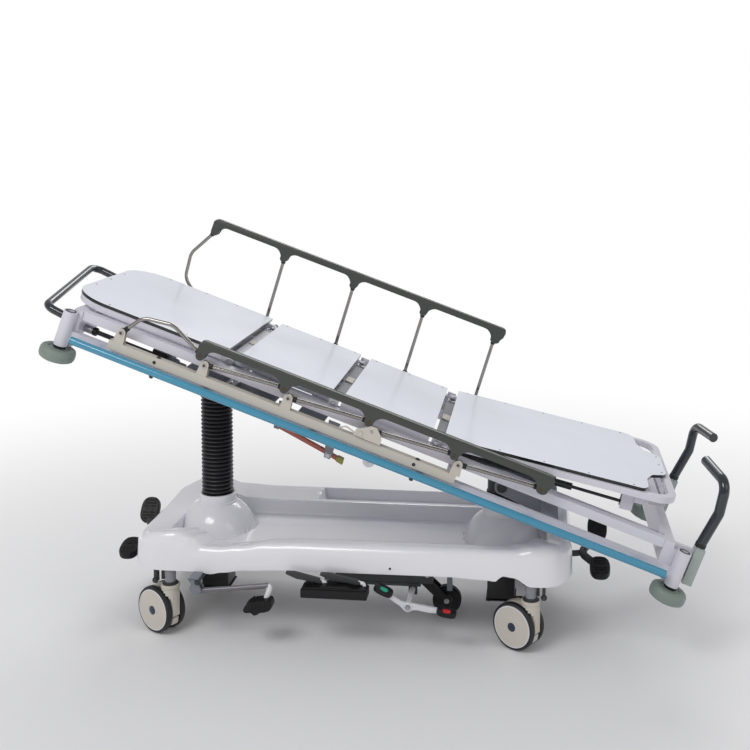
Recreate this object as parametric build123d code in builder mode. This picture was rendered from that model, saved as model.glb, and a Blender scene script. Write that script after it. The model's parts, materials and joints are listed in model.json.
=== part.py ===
from build123d import *
import os
from math import atan2, cos, degrees, pi, radians, sin, sqrt, tan

# A hydraulic patient transfer stretcher. Origin: on the floor, under the middle of the
# whole trolley. +X runs to the head end, +Y to the patient's left, +Z up. Millimetres.
# It is drawn tipped head down: the foot column is right up, the head column right down.

# ---------------------------------------------------------------- driving dimensions
DECK_TILT = 20.0
COLUMN_SPACING = 975.0
HEAD_COLUMN_X = 400.0
HEAD_PIVOT_Z = 442.5
FOOT_COLUMN_X = HEAD_COLUMN_X - COLUMN_SPACING
LIFT = COLUMN_SPACING * tan(radians(DECK_TILT))
FOOT_PIVOT_Z = HEAD_PIVOT_Z + LIFT

WHEEL_R = 75.0
CASTOR_X = (-646.0, 500.0)
CASTOR_Y = 285.0
CASTOR_TRAIL = 45.0
COVER_LENGTH, COVER_WIDTH = 1411.0, 620.0
COVER_X = -74.5

# The deck has its own frame: d along it to the head, n square to it. The middle side
# rail pivot is at d = 0, n = 0, and both columns' pivots lie on n = PIVOT_N.
PIVOT_N = -115.0
HEAD_PIVOT_D = 723.0
FOOT_PIVOT_D = HEAD_PIVOT_D - COLUMN_SPACING / cos(radians(DECK_TILT))
RAIL_Y = 362.0
BRACKET_PITCH = 275.0
BRACKETS = [BRACKET_PITCH * k for k in (-2, -1, 0, 1, 2)]
POST_LENGTH = 255.4
FOLDED, RAISED = 5.4, 93.0
CORNER_D = (-726.0, 1272.0)
CORNER_Y = 350.0
SOCKET_R, SOCKET_DEPTH = 12.0, 95.0
BUMPER_Y, BUMPER_N, BUMPER_R = 385.0, -75.0, 12.25
BOARD_Y = 297.0
THIGH_HINGE = (127.0, 15.0)
LEG_HINGE = (-222.0, 15.0)
BACK_HINGE = (465.0, 15.0)
BACK_TILT = 7.2
GAS_PIVOT = (540.0, -8.0)
GAS_EYE = (1077.0, -35.0)
GAS_Y = 240.0

# ---------------------------------------------------------------- planes and helpers
ALONG = Vector(cos(radians(DECK_TILT)), 0, -sin(radians(DECK_TILT)))
NORMAL = Vector(sin(radians(DECK_TILT)), 0, cos(radians(DECK_TILT)))
HEAD_PIVOT = Vector(HEAD_COLUMN_X, 0, HEAD_PIVOT_Z)
DECK = Plane(HEAD_PIVOT - ALONG * HEAD_PIVOT_D - NORMAL * PIVOT_N, x_dir=ALONG, z_dir=NORMAL)
# The backrest is drawn flat on the deck and swung up about its hinge.
BACK = Plane(
    DECK.location
    * Location((BACK_HINGE[0], 0, BACK_HINGE[1]), (0, -BACK_TILT, 0))
    * Location((-BACK_HINGE[0], 0, -BACK_HINGE[1]))
)


def side(base, y):
    """A plane across base at y: its x is base's x and its y is base's normal."""
    return Plane(base.from_local_coords((0, y, 0)), x_dir=base.x_dir, z_dir=-base.y_dir)


def span(y_from, y_to):
    """Middle and half width of a stretch of y, for a profile extruded both ways."""
    return (y_from + y_to) / 2, abs(y_to - y_from) / 2


def blocks(boxes, mode=Mode.ADD):
    """Adds (or cuts) a box for each (x0, x1, y0, y1, z0, z1)."""
    for x0, x1, y0, y1, z0, z1 in boxes:
        with Locations(((x0 + x1) / 2, (y0 + y1) / 2, (z0 + z1) / 2)):
            Box(x1 - x0, y1 - y0, z1 - z0, mode=mode)


def hollow(boxes, wall):
    """The same boxes, shrunk by the wall, as their hollow cores."""
    return [
        (x0 + wall, x1 - wall, y0 + wall, y1 - wall, z0 + wall, z1 - wall)
        for x0, x1, y0, y1, z0, z1 in boxes
    ]


def both_sides(boxes):
    """The boxes and their mirror images across the middle."""
    return boxes + [(x0, x1, -y1, -y0, z0, z1) for x0, x1, y0, y1, z0, z1 in boxes]


def cross_pin(d, n, y_from, y_to, radius, mode=Mode.ADD):
    """A round pin (or hole) along y."""
    middle, half = span(y_from, y_to)
    with Locations(Location((d, middle, n), (90, 0, 0))):
        Cylinder(radius, 2 * half, mode=mode)


def rod(plane, points, radius, bend):
    """A round rod along a bent line."""
    with BuildLine(plane) as path:
        FilletPolyline(*points, radius=bend)
    with BuildSketch(Plane(path.line @ 0, z_dir=path.line % 0)) as section:
        Circle(radius)
    sweep(sections=section.sketch, path=path.line)


def write(part, name):
    part.label = name
    export_step(part, f"parts/{name}.step")


os.makedirs("parts", exist_ok=True)

# ---------------------------------------------------------------- chassis
CHASSIS_Z = (212.0, 244.0)
BARREL_R, BARREL_BORE = 38.0, 33.25
BARREL_Z = (48.0, 352.0)
COLLAR_TOP = 370.0
COLUMNS = (FOOT_COLUMN_X, HEAD_COLUMN_X)
FIFTH_WHEEL = (221.0, 48.0)
FIFTH_ARM_PIVOT = (60.0, 196.0)
FIFTH_Y = -50.0
PUMP_SHAFT = (-534.0, 203.0)
LIFT_SHAFT = (-150.0, 178.0)
ROCKER_PIVOT = (124.0, 147.0)
BRAKE_Z = 196.0
CLEARANCE = 0.08

rails = both_sides([(-690, 555, 172, 212, *CHASSIS_Z)])
cross = [(x - 25, x + 25, -296, 296, *CHASSIS_Z) for x in CASTOR_X]
plates = [(x - 62, x + 62, -175, 175, CHASSIS_Z[0], CHASSIS_Z[0] + 12) for x in COLUMNS]
hangers = [
    (FIFTH_ARM_PIVOT[0] - 14, FIFTH_ARM_PIVOT[0] + 14, FIFTH_Y - 34, FIFTH_Y - 26, 182, CHASSIS_Z[0] + 2),
    (FIFTH_ARM_PIVOT[0] - 14, FIFTH_ARM_PIVOT[0] + 14, FIFTH_Y + 26, FIFTH_Y + 34, 182, CHASSIS_Z[0] + 2),
    (PUMP_SHAFT[0] - 14, PUMP_SHAFT[0] + 14, -212, -204, 188, CHASSIS_Z[0] + 2),
    (LIFT_SHAFT[0] - 14, LIFT_SHAFT[0] + 14, -204, -196, 162, CHASSIS_Z[0] + 2),
    (ROCKER_PIVOT[0] - 14, ROCKER_PIVOT[0] + 14, -212, -204, 130, CHASSIS_Z[0] + 2),
]
with BuildPart() as chassis_frame:
    blocks(rails + cross + plates)
    blocks([(FIFTH_ARM_PIVOT[0] - 20, FIFTH_ARM_PIVOT[0] + 20, -175, 175, CHASSIS_Z[0], CHASSIS_Z[0] + 16)])
    blocks(hollow(rails + cross, 3), mode=Mode.SUBTRACT)
    blocks(hangers)
    for x in COLUMNS:
        with Locations((x, 0, CHASSIS_Z[0])):
            Cylinder(BARREL_R + 0.3, 80, mode=Mode.SUBTRACT)
    for x in CASTOR_X:
        with Locations((x, -CASTOR_Y, 158), (x, CASTOR_Y, 158)):
            Cylinder(16, 58, align=(Align.CENTER, Align.CENTER, Align.MIN))
            Cylinder(11 + CLEARANCE, 80, align=(Align.CENTER, Align.CENTER, Align.MIN), mode=Mode.SUBTRACT)
    for y in (-1, 1):
        cross_pin(*FIFTH_ARM_PIVOT, FIFTH_Y + y * 16, FIFTH_Y + y * 27, 6)
    cross_pin(*PUMP_SHAFT, -356, -204, 6)
    cross_pin(*ROCKER_PIVOT, -240, -204, 6)
    cross_pin(*LIFT_SHAFT, -222, -196, 6)
    for x, to in ((-696, CASTOR_X[0]), (561, CASTOR_X[1])):
        blocks([(x - 6, x + 6, -30, 30, BRAKE_Z - 18, CHASSIS_Z[0] + 8)])
        blocks([(min(x, to), max(x, to), -30, 30, CHASSIS_Z[0], CHASSIS_Z[0] + 8)])
        with Locations(Location((x, 0, BRAKE_Z), (0, 90, 0))):
            Cylinder(11 + CLEARANCE, 20, mode=Mode.SUBTRACT)
write(chassis_frame.part, "chassis_frame")

with BuildPart() as lift_cylinders:
    for x in COLUMNS:
        with Locations((x, 0, BARREL_Z[0])):
            Cylinder(BARREL_R, BARREL_Z[1] - BARREL_Z[0], align=(Align.CENTER, Align.CENTER, Align.MIN))
    for x in COLUMNS:
        with Locations((x, 0, BARREL_Z[0] + 8)):
            Cylinder(BARREL_BORE, 400, align=(Align.CENTER, Align.CENTER, Align.MIN), mode=Mode.SUBTRACT)
write(lift_cylinders.part, "lift_cylinders")

# ---------------------------------------------------------------- base cover
COVER_BOTTOM, COVER_RIM, BASIN_FLOOR = 212.0, 326.0, 254.0
BASIN = (-682.0, 555.0, -238.0, 146.0)
COVER_WALL = 4.0
DOME_R, COLLAR_R = 104.0, 62.0


def cover_outline(inset, radius):
    with Locations((COVER_X, 0)):
        RectangleRounded(COVER_LENGTH - 2 * inset, COVER_WIDTH - 2 * inset, radius)


def basin_outline(grow, radius, mode=Mode.ADD):
    x0, x1, y0, y1 = BASIN
    with Locations(((x0 + x1) / 2, (y0 + y1) / 2)):
        RectangleRounded(x1 - x0 + 2 * grow, y1 - y0 + 2 * grow, radius, mode=mode)


with BuildPart() as base_cover:
    with BuildSketch(Plane.XY.offset(COVER_BOTTOM)):
        cover_outline(0, 112)
    extrude(amount=COVER_RIM - COVER_BOTTOM)
    fillet(base_cover.faces().sort_by(Axis.Z)[-1].edges(), 24)
    with BuildSketch(Plane.XY.offset(BASIN_FLOOR)):
        basin_outline(0, 84)
    extrude(amount=200, mode=Mode.SUBTRACT)
    for x in COLUMNS:
        with Locations((x, 0, BASIN_FLOOR)):
            Cone(DOME_R, COLLAR_R, 340 - BASIN_FLOOR, align=(Align.CENTER, Align.CENTER, Align.MIN))
            Cylinder(COLLAR_R, COLLAR_TOP - BASIN_FLOOR, align=(Align.CENTER, Align.CENTER, Align.MIN))
    with BuildSketch(Plane.XY.offset(COVER_BOTTOM)):
        cover_outline(COVER_WALL, 108)
    extrude(amount=BASIN_FLOOR - COVER_WALL - COVER_BOTTOM, mode=Mode.SUBTRACT)
    with BuildSketch(Plane.XY.offset(BASIN_FLOOR - COVER_WALL)):
        cover_outline(4 * COVER_WALL, 96)
        basin_outline(COVER_WALL, 88, mode=Mode.SUBTRACT)
    extrude(amount=COVER_RIM - BASIN_FLOOR, mode=Mode.SUBTRACT)
    for x in COLUMNS:
        with Locations((x, 0, COVER_BOTTOM)):
            Cylinder(BARREL_R + 1, 340, mode=Mode.SUBTRACT)
write(base_cover.part, "base_cover")

# ---------------------------------------------------------------- lifting columns
STAGE_R, STAGE_BORE, RAM_R = 33.0, 26.25, 26.0
STAGE_LENGTH, RAM_LENGTH = 289.0, 320.0
HEAD_R, PIN_R, PIN_Y = 50.0, 10.0, 74.0
HEAD_BELOW, HEAD_ABOVE = 28.0, 12.0
BELLOWS_R, BELLOWS_BORE, RIBS = 51.0, 41.0, 29


def bellows(x, top, name):
    """A rubber sleeve of ribs, from the collar to the ram's head."""
    pitch = (top - COLLAR_TOP) / RIBS
    with BuildPart() as sleeve:
        with BuildSketch(Plane.XZ):
            with BuildLine():
                zigzag = [(BELLOWS_BORE, COLLAR_TOP), (BELLOWS_R - 5, COLLAR_TOP)]
                for k in range(RIBS):
                    zigzag.append((BELLOWS_R, COLLAR_TOP + (k + 0.5) * pitch))
                    zigzag.append((BELLOWS_R - 5, COLLAR_TOP + (k + 1) * pitch))
                Polyline(*zigzag, (BELLOWS_BORE, top), close=True)
            make_face()
        revolve(axis=Axis.Z)
    write(sleeve.part.moved(Location((x, 0, 0))), name)


def ram(x, pivot_z, with_pin):
    """The inner rod and the round head that carries the deck's pivot."""
    bottom = pivot_z - RAM_LENGTH
    with BuildPart(Plane((x, 0, pivot_z))) as inner:
        with Locations((0, 0, -RAM_LENGTH)):
            Cylinder(RAM_R, RAM_LENGTH - HEAD_BELOW, align=(Align.CENTER, Align.CENTER, Align.MIN))
        with Locations((0, 0, -HEAD_BELOW)):
            Cylinder(HEAD_R, HEAD_BELOW + HEAD_ABOVE, align=(Align.CENTER, Align.CENTER, Align.MIN))
        if with_pin:
            cross_pin(0, 0, -PIN_Y, PIN_Y, PIN_R)
            for y in (-1, 1):
                cross_pin(0, 0, y * (PIN_Y - 6), y * PIN_Y, PIN_R + 6)
        else:
            cross_pin(0, 0, -HEAD_R, HEAD_R, PIN_R + CLEARANCE, mode=Mode.SUBTRACT)
    return inner.part


def stage(x, bottom):
    with BuildPart(Plane((x, 0, bottom))) as tube:
        Cylinder(STAGE_R, STAGE_LENGTH, align=(Align.CENTER, Align.CENTER, Align.MIN))
        Cylinder(STAGE_BORE, STAGE_LENGTH, align=(Align.CENTER, Align.CENTER, Align.MIN), mode=Mode.SUBTRACT)
    return tube.part


bellows(FOOT_COLUMN_X, FOOT_PIVOT_Z - HEAD_BELOW, "foot_bellows")
bellows(HEAD_COLUMN_X, HEAD_PIVOT_Z - HEAD_BELOW, "head_bellows")
write(stage(HEAD_COLUMN_X, 116), "head_lift_stage")
write(stage(FOOT_COLUMN_X, 116 + LIFT / 2), "foot_lift_stage")
write(ram(HEAD_COLUMN_X, HEAD_PIVOT_Z, False), "head_ram")
write(ram(FOOT_COLUMN_X, FOOT_PIVOT_Z, True), "foot_ram")

with BuildPart(Plane(HEAD_PIVOT)) as head_pivot_pin:
    cross_pin(0, 0, -PIN_Y, PIN_Y, PIN_R)
    for y in (-1, 1):
        cross_pin(0, 0, y * (PIN_Y - 6), y * PIN_Y, PIN_R + 6)
write(head_pivot_pin.part, "head_pivot_pin")

# ---------------------------------------------------------------- castors and fifth wheel
# Each castor: a hooded fork on a swivel stem, and a pair of wheels on one axle.
CASTOR_TURN = {
    "near_foot": ((CASTOR_X[0], -CASTOR_Y), 149.0),
    "near_head": ((CASTOR_X[1], -CASTOR_Y), 147.0),
    "far_foot": ((CASTOR_X[0], CASTOR_Y), 205.0),
    "far_head": ((CASTOR_X[1], CASTOR_Y), 160.0),
}
AXLE_R, WHEEL_INNER, WHEEL_OUTER = 6.0, 16.0, 37.0


def castor(name, place, turn):
    """Draws the castor trailing along its own +X, then turns it about its stem."""
    base = Plane((*place, 0)).rotated((0, 0, turn))
    with BuildPart(base) as fork:
        with Locations((0, 0, 148)):
            Cylinder(28.5, 9, align=(Align.CENTER, Align.CENTER, Align.MIN))
            Cylinder(11, 82, align=(Align.CENTER, Align.CENTER, Align.MIN))
        with BuildSketch(side(base, 0)):
            with Locations((CASTOR_TRAIL, WHEEL_R)):
                Circle(30)
            with BuildLine():
                Polyline((-27, 149), (-26, 90), (-10, 50), (40, 44), (84, 92), (80, 136), (40, 149), close=True)
            make_face()
        extrude(amount=WHEEL_INNER - 1.0, both=True)
        with Locations(Location((CASTOR_TRAIL, 0, WHEEL_R), (90, 0, 0))):
            Cylinder(AXLE_R, 2 * WHEEL_OUTER + 2)
    with BuildPart(base) as wheels:
        for y in (-1, 1):
            with Locations(Location((CASTOR_TRAIL, y * (WHEEL_INNER + WHEEL_OUTER) / 2, WHEEL_R), (90, 0, 0))):
                Cylinder(WHEEL_R, WHEEL_OUTER - WHEEL_INNER)
        fillet(wheels.edges().filter_by(GeomType.CIRCLE), 5)
        with Locations(Location((CASTOR_TRAIL, 0, WHEEL_R), (90, 0, 0))):
            Cylinder(AXLE_R + CLEARANCE, 100, mode=Mode.SUBTRACT)
    write(fork.part, f"castor_fork_{name}")
    write(wheels.part, f"castor_wheels_{name}")


for castor_name, (stem, turn) in CASTOR_TURN.items():
    castor(castor_name, stem, turn)

with BuildPart() as fifth_wheel:
    cross_pin(*FIFTH_WHEEL, FIFTH_Y - 15, FIFTH_Y + 15, FIFTH_WHEEL[1])
    fillet(fifth_wheel.edges().filter_by(GeomType.CIRCLE), 5)
    cross_pin(*FIFTH_WHEEL, FIFTH_Y - 20, FIFTH_Y + 20, 6 + CLEARANCE, mode=Mode.SUBTRACT)
write(fifth_wheel.part, "fifth_wheel")

with BuildPart() as fifth_wheel_arm:
    for y in (FIFTH_Y - 18.2, FIFTH_Y + 18.2):
        with BuildSketch(Plane.XZ.offset(-y)):
            with Locations(FIFTH_WHEEL):
                Circle(14)
            with Locations(FIFTH_ARM_PIVOT):
                Circle(15)
            with BuildLine():
                Polyline((52, 182), (70, 208), (230, 60), (210, 36), close=True)
            make_face()
        extrude(amount=2.2, both=True)
    blocks([(116, 136, FIFTH_Y - 18, FIFTH_Y + 18, 118, 134)])
    cross_pin(*FIFTH_WHEEL, FIFTH_Y - 20.4, FIFTH_Y + 20.4, 6)
    cross_pin(*FIFTH_ARM_PIVOT, FIFTH_Y - 25, FIFTH_Y + 25, 6 + CLEARANCE, mode=Mode.SUBTRACT)
write(fifth_wheel_arm.part, "fifth_wheel_arm")

# ---------------------------------------------------------------- pedals
with BuildPart() as pump_pedal:
    cross_pin(*PUMP_SHAFT, -354, -334, 14)
    rod(Plane.XY, [(-536, -344, 200), (-556, -346, 166), (-305, -346, 197), (-316, -352, 152)], 8.5, 14)
    with BuildSketch(Plane.XZ.offset(360)):
        with BuildLine():
            Polyline((-389, 128), (-368, 156), (-300, 162), (-292, 146), (-306, 124), (-344, 106), (-378, 114), close=True)
        make_face()
    extrude(amount=26, both=True)
    cross_pin(*PUMP_SHAFT, -360, -330, 6 + CLEARANCE, mode=Mode.SUBTRACT)
write(pump_pedal.part, "pump_pedal")

with BuildPart() as lift_pedal:
    cross_pin(*LIFT_SHAFT, -218, -206, 13)
    blocks([(-150, -28, -218, -206, 170, 186), (-44, -28, -340, -206, 170, 188)])
    blocks([(-180, -150, -218, -206, 170, 186), (-180, -164, -340, -206, 170, 188)])
    blocks([(-206, -1, -370, -318, 178, 212)])
    cross_pin(*LIFT_SHAFT, -224, -204, 6 + CLEARANCE, mode=Mode.SUBTRACT)
write(lift_pedal.part, "lift_pedal")

with BuildPart() as steer_rocker:
    cross_pin(*ROCKER_PIVOT, -350, -214, 10)
    with BuildSketch(Plane.XZ.offset(340)):
        with BuildLine():
            Polyline((20, 196), (34, 212), (76, 178), (124, 162), (190, 148), (262, 144), (276, 126),
                     (262, 114), (180, 122), (124, 134), (80, 148), (40, 178), close=True)
        make_face()
    extrude(amount=20, both=True)
    cross_pin(*ROCKER_PIVOT, -242, -200, 6 + CLEARANCE, mode=Mode.SUBTRACT)
write(steer_rocker.part, "steer_rocker")

# The two end pedals are one piece: the bar between them steps aside round the columns.
BRAKE_ENDS = ((-850.0, -668.0), (722.0, 540.0))
BAR_Y, BAR_Z = 62.0, 176.0
BRAKE_PADS = ((96.0, 258.0, 52.0), (-96.0, 196.0, 17.0))
with BuildPart() as brake_pedals:
    for outer, inner in BRAKE_ENDS:
        with Locations(Location(((outer + inner) / 2, 0, BRAKE_Z), (0, 90, 0))):
            Cylinder(11, abs(outer - inner))
        for y, z, tilt in BRAKE_PADS:
            with Locations(Location((outer, y, z), (tilt, 0, 0))):
                Box(74, 104, 24)
        fillet(brake_pedals.edges().filter_by(lambda edge: 23 < edge.length < 25), 11)
        with BuildSketch(Plane.YZ.offset(outer)):
            with BuildLine():
                Polyline((-60, 176), (-20, 190), (24, 192), (78, 222), (66, 246), (16, 212), (-26, 209), (-64, 196), close=True)
            make_face()
        extrude(amount=14, both=True)
        blocks([(inner - 6, inner + 6, -13, 13, BAR_Z - 8, BRAKE_Z + 10)])
        blocks([(inner - 6, inner + 6, -13, BAR_Y + 8, BAR_Z - 8, BAR_Z + 8)])
    with Locations(Location(((BRAKE_ENDS[0][1] + BRAKE_ENDS[1][1]) / 2, BAR_Y, BAR_Z), (0, 90, 0))):
        Cylinder(7, BRAKE_ENDS[1][1] - BRAKE_ENDS[0][1])
write(brake_pedals.part, "brake_pedals")

# ---------------------------------------------------------------- deck frame
TUBE_WALL = 2.5
longitudinal = both_sides(
    [
        (-700, 1228, 300, 330, -20, 8),
        (-712, 1258, 325, 350, -90, -60),
        (-696, 1214, 190, 210, -46, -20),
    ]
)
cross_members = [(-722, -694, -335, 335, -75, 8), (1212, 1242, -335, 335, -62, 8), (525, 555, -315, 315, -47, -18)]
gussets = both_sides(
    [
        (-740, -696, 322, 337, -110, -8),
        (1240, 1266, 322, 337, -110, -8),
        (1240, 1302, 306, 322, -84, 6),
    ]
)
seat_bars = both_sides([(150, 441, 276, 300, -6, 27)])
hinge_ears = both_sides([(112, 142, 297, 303, -6, 28), (450, 480, 288, 294, -6, 28)])
hinge_ears += both_sides([(450, 480, 288, 302, -18, 6)])
lugs = both_sides([(528, 552, 223, 228, -22, 2), (528, 552, 252, 257, -22, 2)])
HANDLE_D, HANDLE_Y = 1315.0, 322.0
CRANK = (-277.0, -57.0)

with BuildPart(DECK) as deck_frame:
    blocks(longitudinal + cross_members)
    blocks(hollow(longitudinal + cross_members, TUBE_WALL), mode=Mode.SUBTRACT)
    blocks(gussets + seat_bars + hinge_ears + lugs)
    blocks(hollow(seat_bars, TUBE_WALL), mode=Mode.SUBTRACT)
    for y in (-1, 1):
        for d in CORNER_D:
            with Locations((d, y * CORNER_Y, -112)):
                Cylinder(21.5, 112, align=(Align.CENTER, Align.CENTER, Align.MIN))
            with Locations((d, y * CORNER_Y, -166)):
                Cylinder(8, 60, align=(Align.CENTER, Align.CENTER, Align.MIN))
                Cylinder(15, 6, align=(Align.CENTER, Align.CENTER, Align.MIN))
            with Locations((d, y * CORNER_Y, -SOCKET_DEPTH)):
                Cylinder(SOCKET_R, SOCKET_DEPTH + 5, align=(Align.CENTER, Align.CENTER, Align.MIN), mode=Mode.SUBTRACT)
        cross_pin(*THIGH_HINGE, y * 248, y * 300, 6)
        cross_pin(*BACK_HINGE, y * 256, y * 290, 6)
        cross_pin(*GAS_PIVOT, y * 224, y * 256, 5)
        blocks([(1302, 1331, min(y * 304, y * 340), max(y * 304, y * 340), -97, 19)])
        with Locations((HANDLE_D, y * HANDLE_Y, -88)):
            Cylinder(12 + CLEARANCE, 140, align=(Align.CENTER, Align.CENTER, Align.MIN), mode=Mode.SUBTRACT)
    with Locations(Location((-708, *CRANK), (0, 90, 0))):
        Cylinder(9 + CLEARANCE, 60, mode=Mode.SUBTRACT)
write(deck_frame.part, "deck_frame")

# ---------------------------------------------------------------- grey brackets on the deck
SLOT_R = PIN_R + 6.0
SLOT_ENDS = (FOOT_PIVOT_D - 1.0, HEAD_PIVOT_D - COLUMN_SPACING + 1.0)

with BuildPart(DECK) as pivot_brackets:
    blocks([(-352, -216, -325, 325, -78, -60), (846, 894, -325, 325, -86, -60), (-446, -422, -325, 325, -86, -80)])
    blocks([(-458, -410, CRANK[0] - 26, CRANK[0] + 26, -82, -32)])
    with Locations(Location((-410, *CRANK), (0, 90, 0))):
        Cylinder(13, 34, align=(Align.CENTER, Align.CENTER, Align.MIN))
    blocks([(-378, -350, CRANK[0] - 5, CRANK[0] + 5, -64, -50), (-362, -350, CRANK[0] - 5, CRANK[0] + 5, -70, -50)])
    with Locations(Location((-462, *CRANK), (0, 90, 0))):
        Cylinder(9 + CLEARANCE, 20, align=(Align.CENTER, Align.CENTER, Align.MIN), mode=Mode.SUBTRACT)
    blocks([(846, 894, -66, 66, -150, -60)])
    blocks([(-200, -60, -325, 325, -88, -84), (20, 110, -325, 325, -88, -84)])
    blocks([(109, 145, -210, 210, 8, 15), (455, 489, -210, 210, 8, 15)])
    blocks([(115, 139, -24, 24, 15, 19), (460, 484, -24, 24, 15, 19)])
    for y in (-1, 1):
        middle, half = span(y * 58, y * 66)
        with BuildSketch(side(DECK, middle)):
            with BuildLine():
                Polyline((-352, -140), (-352, -70), (-216, -70), (-216, -140), close=True)
            make_face()
            with Locations(((SLOT_ENDS[0] + SLOT_ENDS[1]) / 2, PIVOT_N)):
                SlotCenterToCenter(SLOT_ENDS[1] - SLOT_ENDS[0], 2 * SLOT_R, mode=Mode.SUBTRACT)
        extrude(amount=half, both=True)
        with BuildSketch(side(DECK, middle)):
            with Locations((HEAD_PIVOT_D, PIVOT_N)):
                Circle(25)
            with BuildLine():
                Polyline((HEAD_PIVOT_D - 6, -91), (HEAD_PIVOT_D, -139.5), (850, -150), (850, -60), close=True)
            make_face()
            with Locations((HEAD_PIVOT_D, PIVOT_N)):
                Circle(PIN_R + CLEARANCE, mode=Mode.SUBTRACT)
        extrude(amount=half, both=True)
write(pivot_brackets.part, "pivot_brackets")

with BuildPart(DECK) as bumper_tubes:
    for y in (-1, 1):
        with Locations(Location((274.5, y * BUMPER_Y, BUMPER_N), (0, 90, 0))):
            Cylinder(BUMPER_R, 1923)
        for k in range(6):
            d = -600 + 350 * k
            blocks([(d - 12, d + 12, min(y * 350, y * 380), max(y * 350, y * 380), BUMPER_N - 10, BUMPER_N - 2)])
write(bumper_tubes.part, "bumper_tubes")

# ---------------------------------------------------------------- folding side rails
CHANNEL_N = (-60.0, -33.0)
CHEEKS = ((352.3, 355.3), (368.7, 371.7))
LATCH_PIVOT = (242.0, -16.0)

with BuildPart(DECK) as rail_channels:
    for y in (-1, 1):
        channel = (-578, 557, min(y * 347, y * 373), max(y * 347, y * 373), *CHANNEL_N)
        blocks([channel])
        blocks(hollow([channel], 2), mode=Mode.SUBTRACT)
        for d in BRACKETS:
            for cheek in CHEEKS:
                middle, half = span(y * cheek[0], y * cheek[1])
                with BuildSketch(side(DECK, middle)):
                    with Locations((d, 0)):
                        Circle(13.5)
                    with BuildLine():
                        Polyline((d - 17, -34), (d - 13.5, 0), (d + 13.5, 0), (d + 17, -34), close=True)
                    make_face()
                extrude(amount=half, both=True)
            cross_pin(d, 0, y * 352.3, y * 374, 4)
            cross_pin(d, 0, y * 371.5, y * 374, 6)
        cross_pin(*LATCH_PIVOT, y * 372, y * 383.5, 4)
        cross_pin(*LATCH_PIVOT, y * 366, y * 377.7, 8)
        blocks([(234, 250, min(y * 366, y * 371.5), max(y * 366, y * 371.5), -34, -16)])
        cross_pin(*LATCH_PIVOT, y * 382.0, y * 385, 7)
write(rail_channels.part, "rail_channels")


def eye_point(start, angle, length):
    return (start[0] + length * cos(radians(angle)), start[1] + length * sin(radians(angle)))


def post(name, sign, d, angle, bent):
    """A chrome post from its bracket to its lobe, with a flat eye at each end."""
    plane = side(DECK, sign * RAIL_Y)
    local = Plane(
        plane.from_local_coords((d, 0)),
        x_dir=plane.x_dir * cos(radians(angle)) + plane.y_dir * sin(radians(angle)),
        z_dir=plane.z_dir,
    )
    with BuildPart() as bar:
        if bent:
            rod(local, [(0, 0), (52, 62), (150, 66), (POST_LENGTH, 0)], 6, 55)
        else:
            rod(local, [(0, 0), (POST_LENGTH / 2, 0), (POST_LENGTH, 0)], 6, 0)
        for at in (0, POST_LENGTH):
            with BuildSketch(local):
                with Locations((at, 0)):
                    Circle(9.5)
            extrude(amount=6.4, both=True)
        for at in (0, POST_LENGTH):
            with BuildSketch(local):
                with Locations((at, 0)):
                    Circle(4 + CLEARANCE)
            extrude(amount=20, both=True, mode=Mode.SUBTRACT)
    write(bar.part, name)


def top_rail(name, sign, angle):
    """The moulded rail: an upside-down channel with a lobe over each post."""
    first = eye_point((BRACKETS[0], 0.0), angle, POST_LENGTH)
    end = 4 * BRACKET_PITCH
    base = Plane(DECK.from_local_coords((first[0], sign * RAIL_Y, first[1])), x_dir=DECK.x_dir, z_dir=(0, -1, 0))
    with BuildPart() as rail:
        with BuildSketch(base) as profile:
            with BuildLine():
                Polyline((-14, 25), (-14, 38), (-2, 50), (end + 21, 50), (end + 33, 38), (end + 33, 25), close=True)
            make_face()
            for k in range(5):
                with Locations((k * BRACKET_PITCH, 0)):
                    Circle(14)
                with BuildLine():
                    low = k * BRACKET_PITCH
                    left = 14 if k == 0 else 30
                    Polyline((low - 14, 0), (low - left, 26), (low + 30, 26), (low + 14, 0), close=True)
                make_face()
        extrude(amount=15, both=True)
        with BuildSketch(base):
            with Locations((end / 2, 4)):
                Rectangle(end + 200, 48)
        extrude(amount=10, both=True, mode=Mode.SUBTRACT)
        for k in range(5):
            with BuildSketch(base):
                with Locations((k * BRACKET_PITCH, 0)):
                    Circle(4)
            extrude(amount=15, both=True)
    write(rail.part, name)


for rail_side, sign, angle in (("near", -1, FOLDED), ("far", 1, RAISED)):
    for number, d in enumerate(BRACKETS):
        post(f"{rail_side}_post_{number + 1}", sign, d, angle, bent=number == 0)
    top_rail(f"{rail_side}_top_rail", sign, angle)
    with BuildPart() as latch:
        middle, half = span(sign * 378.0, sign * 381.6)
        with BuildSketch(side(DECK, middle)):
            with BuildLine():
                Polyline((222, -27), (226, -8), (256, 10), (266, 17), (284, 17), (300, 2), (309, -12), (309, -29), close=True)
            make_face()
            with Locations(LATCH_PIVOT):
                Circle(4 + CLEARANCE, mode=Mode.SUBTRACT)
        extrude(amount=half, both=True)
        rod(side(DECK, middle), [(226, -20), (196, -12), (176, -22)], 2.5, 8)
    write(latch.part, f"{rail_side}_latch")

# ---------------------------------------------------------------- bumper wheels
for end_name, d in zip(("foot", "head"), CORNER_D):
    for side_name, y in (("near", -1), ("far", 1)):
        with BuildPart(DECK) as bumper_wheel:
            with Locations((d, y * CORNER_Y, -158)):
                Cylinder(55, 38, align=(Align.CENTER, Align.CENTER, Align.MIN))
            fillet(bumper_wheel.edges().filter_by(GeomType.CIRCLE), 9)
            with Locations((d, y * CORNER_Y, -139)):
                Cylinder(8 + CLEARANCE, 60, mode=Mode.SUBTRACT)
        write(bumper_wheel.part, f"bumper_wheel_{side_name}_{end_name}")

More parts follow.
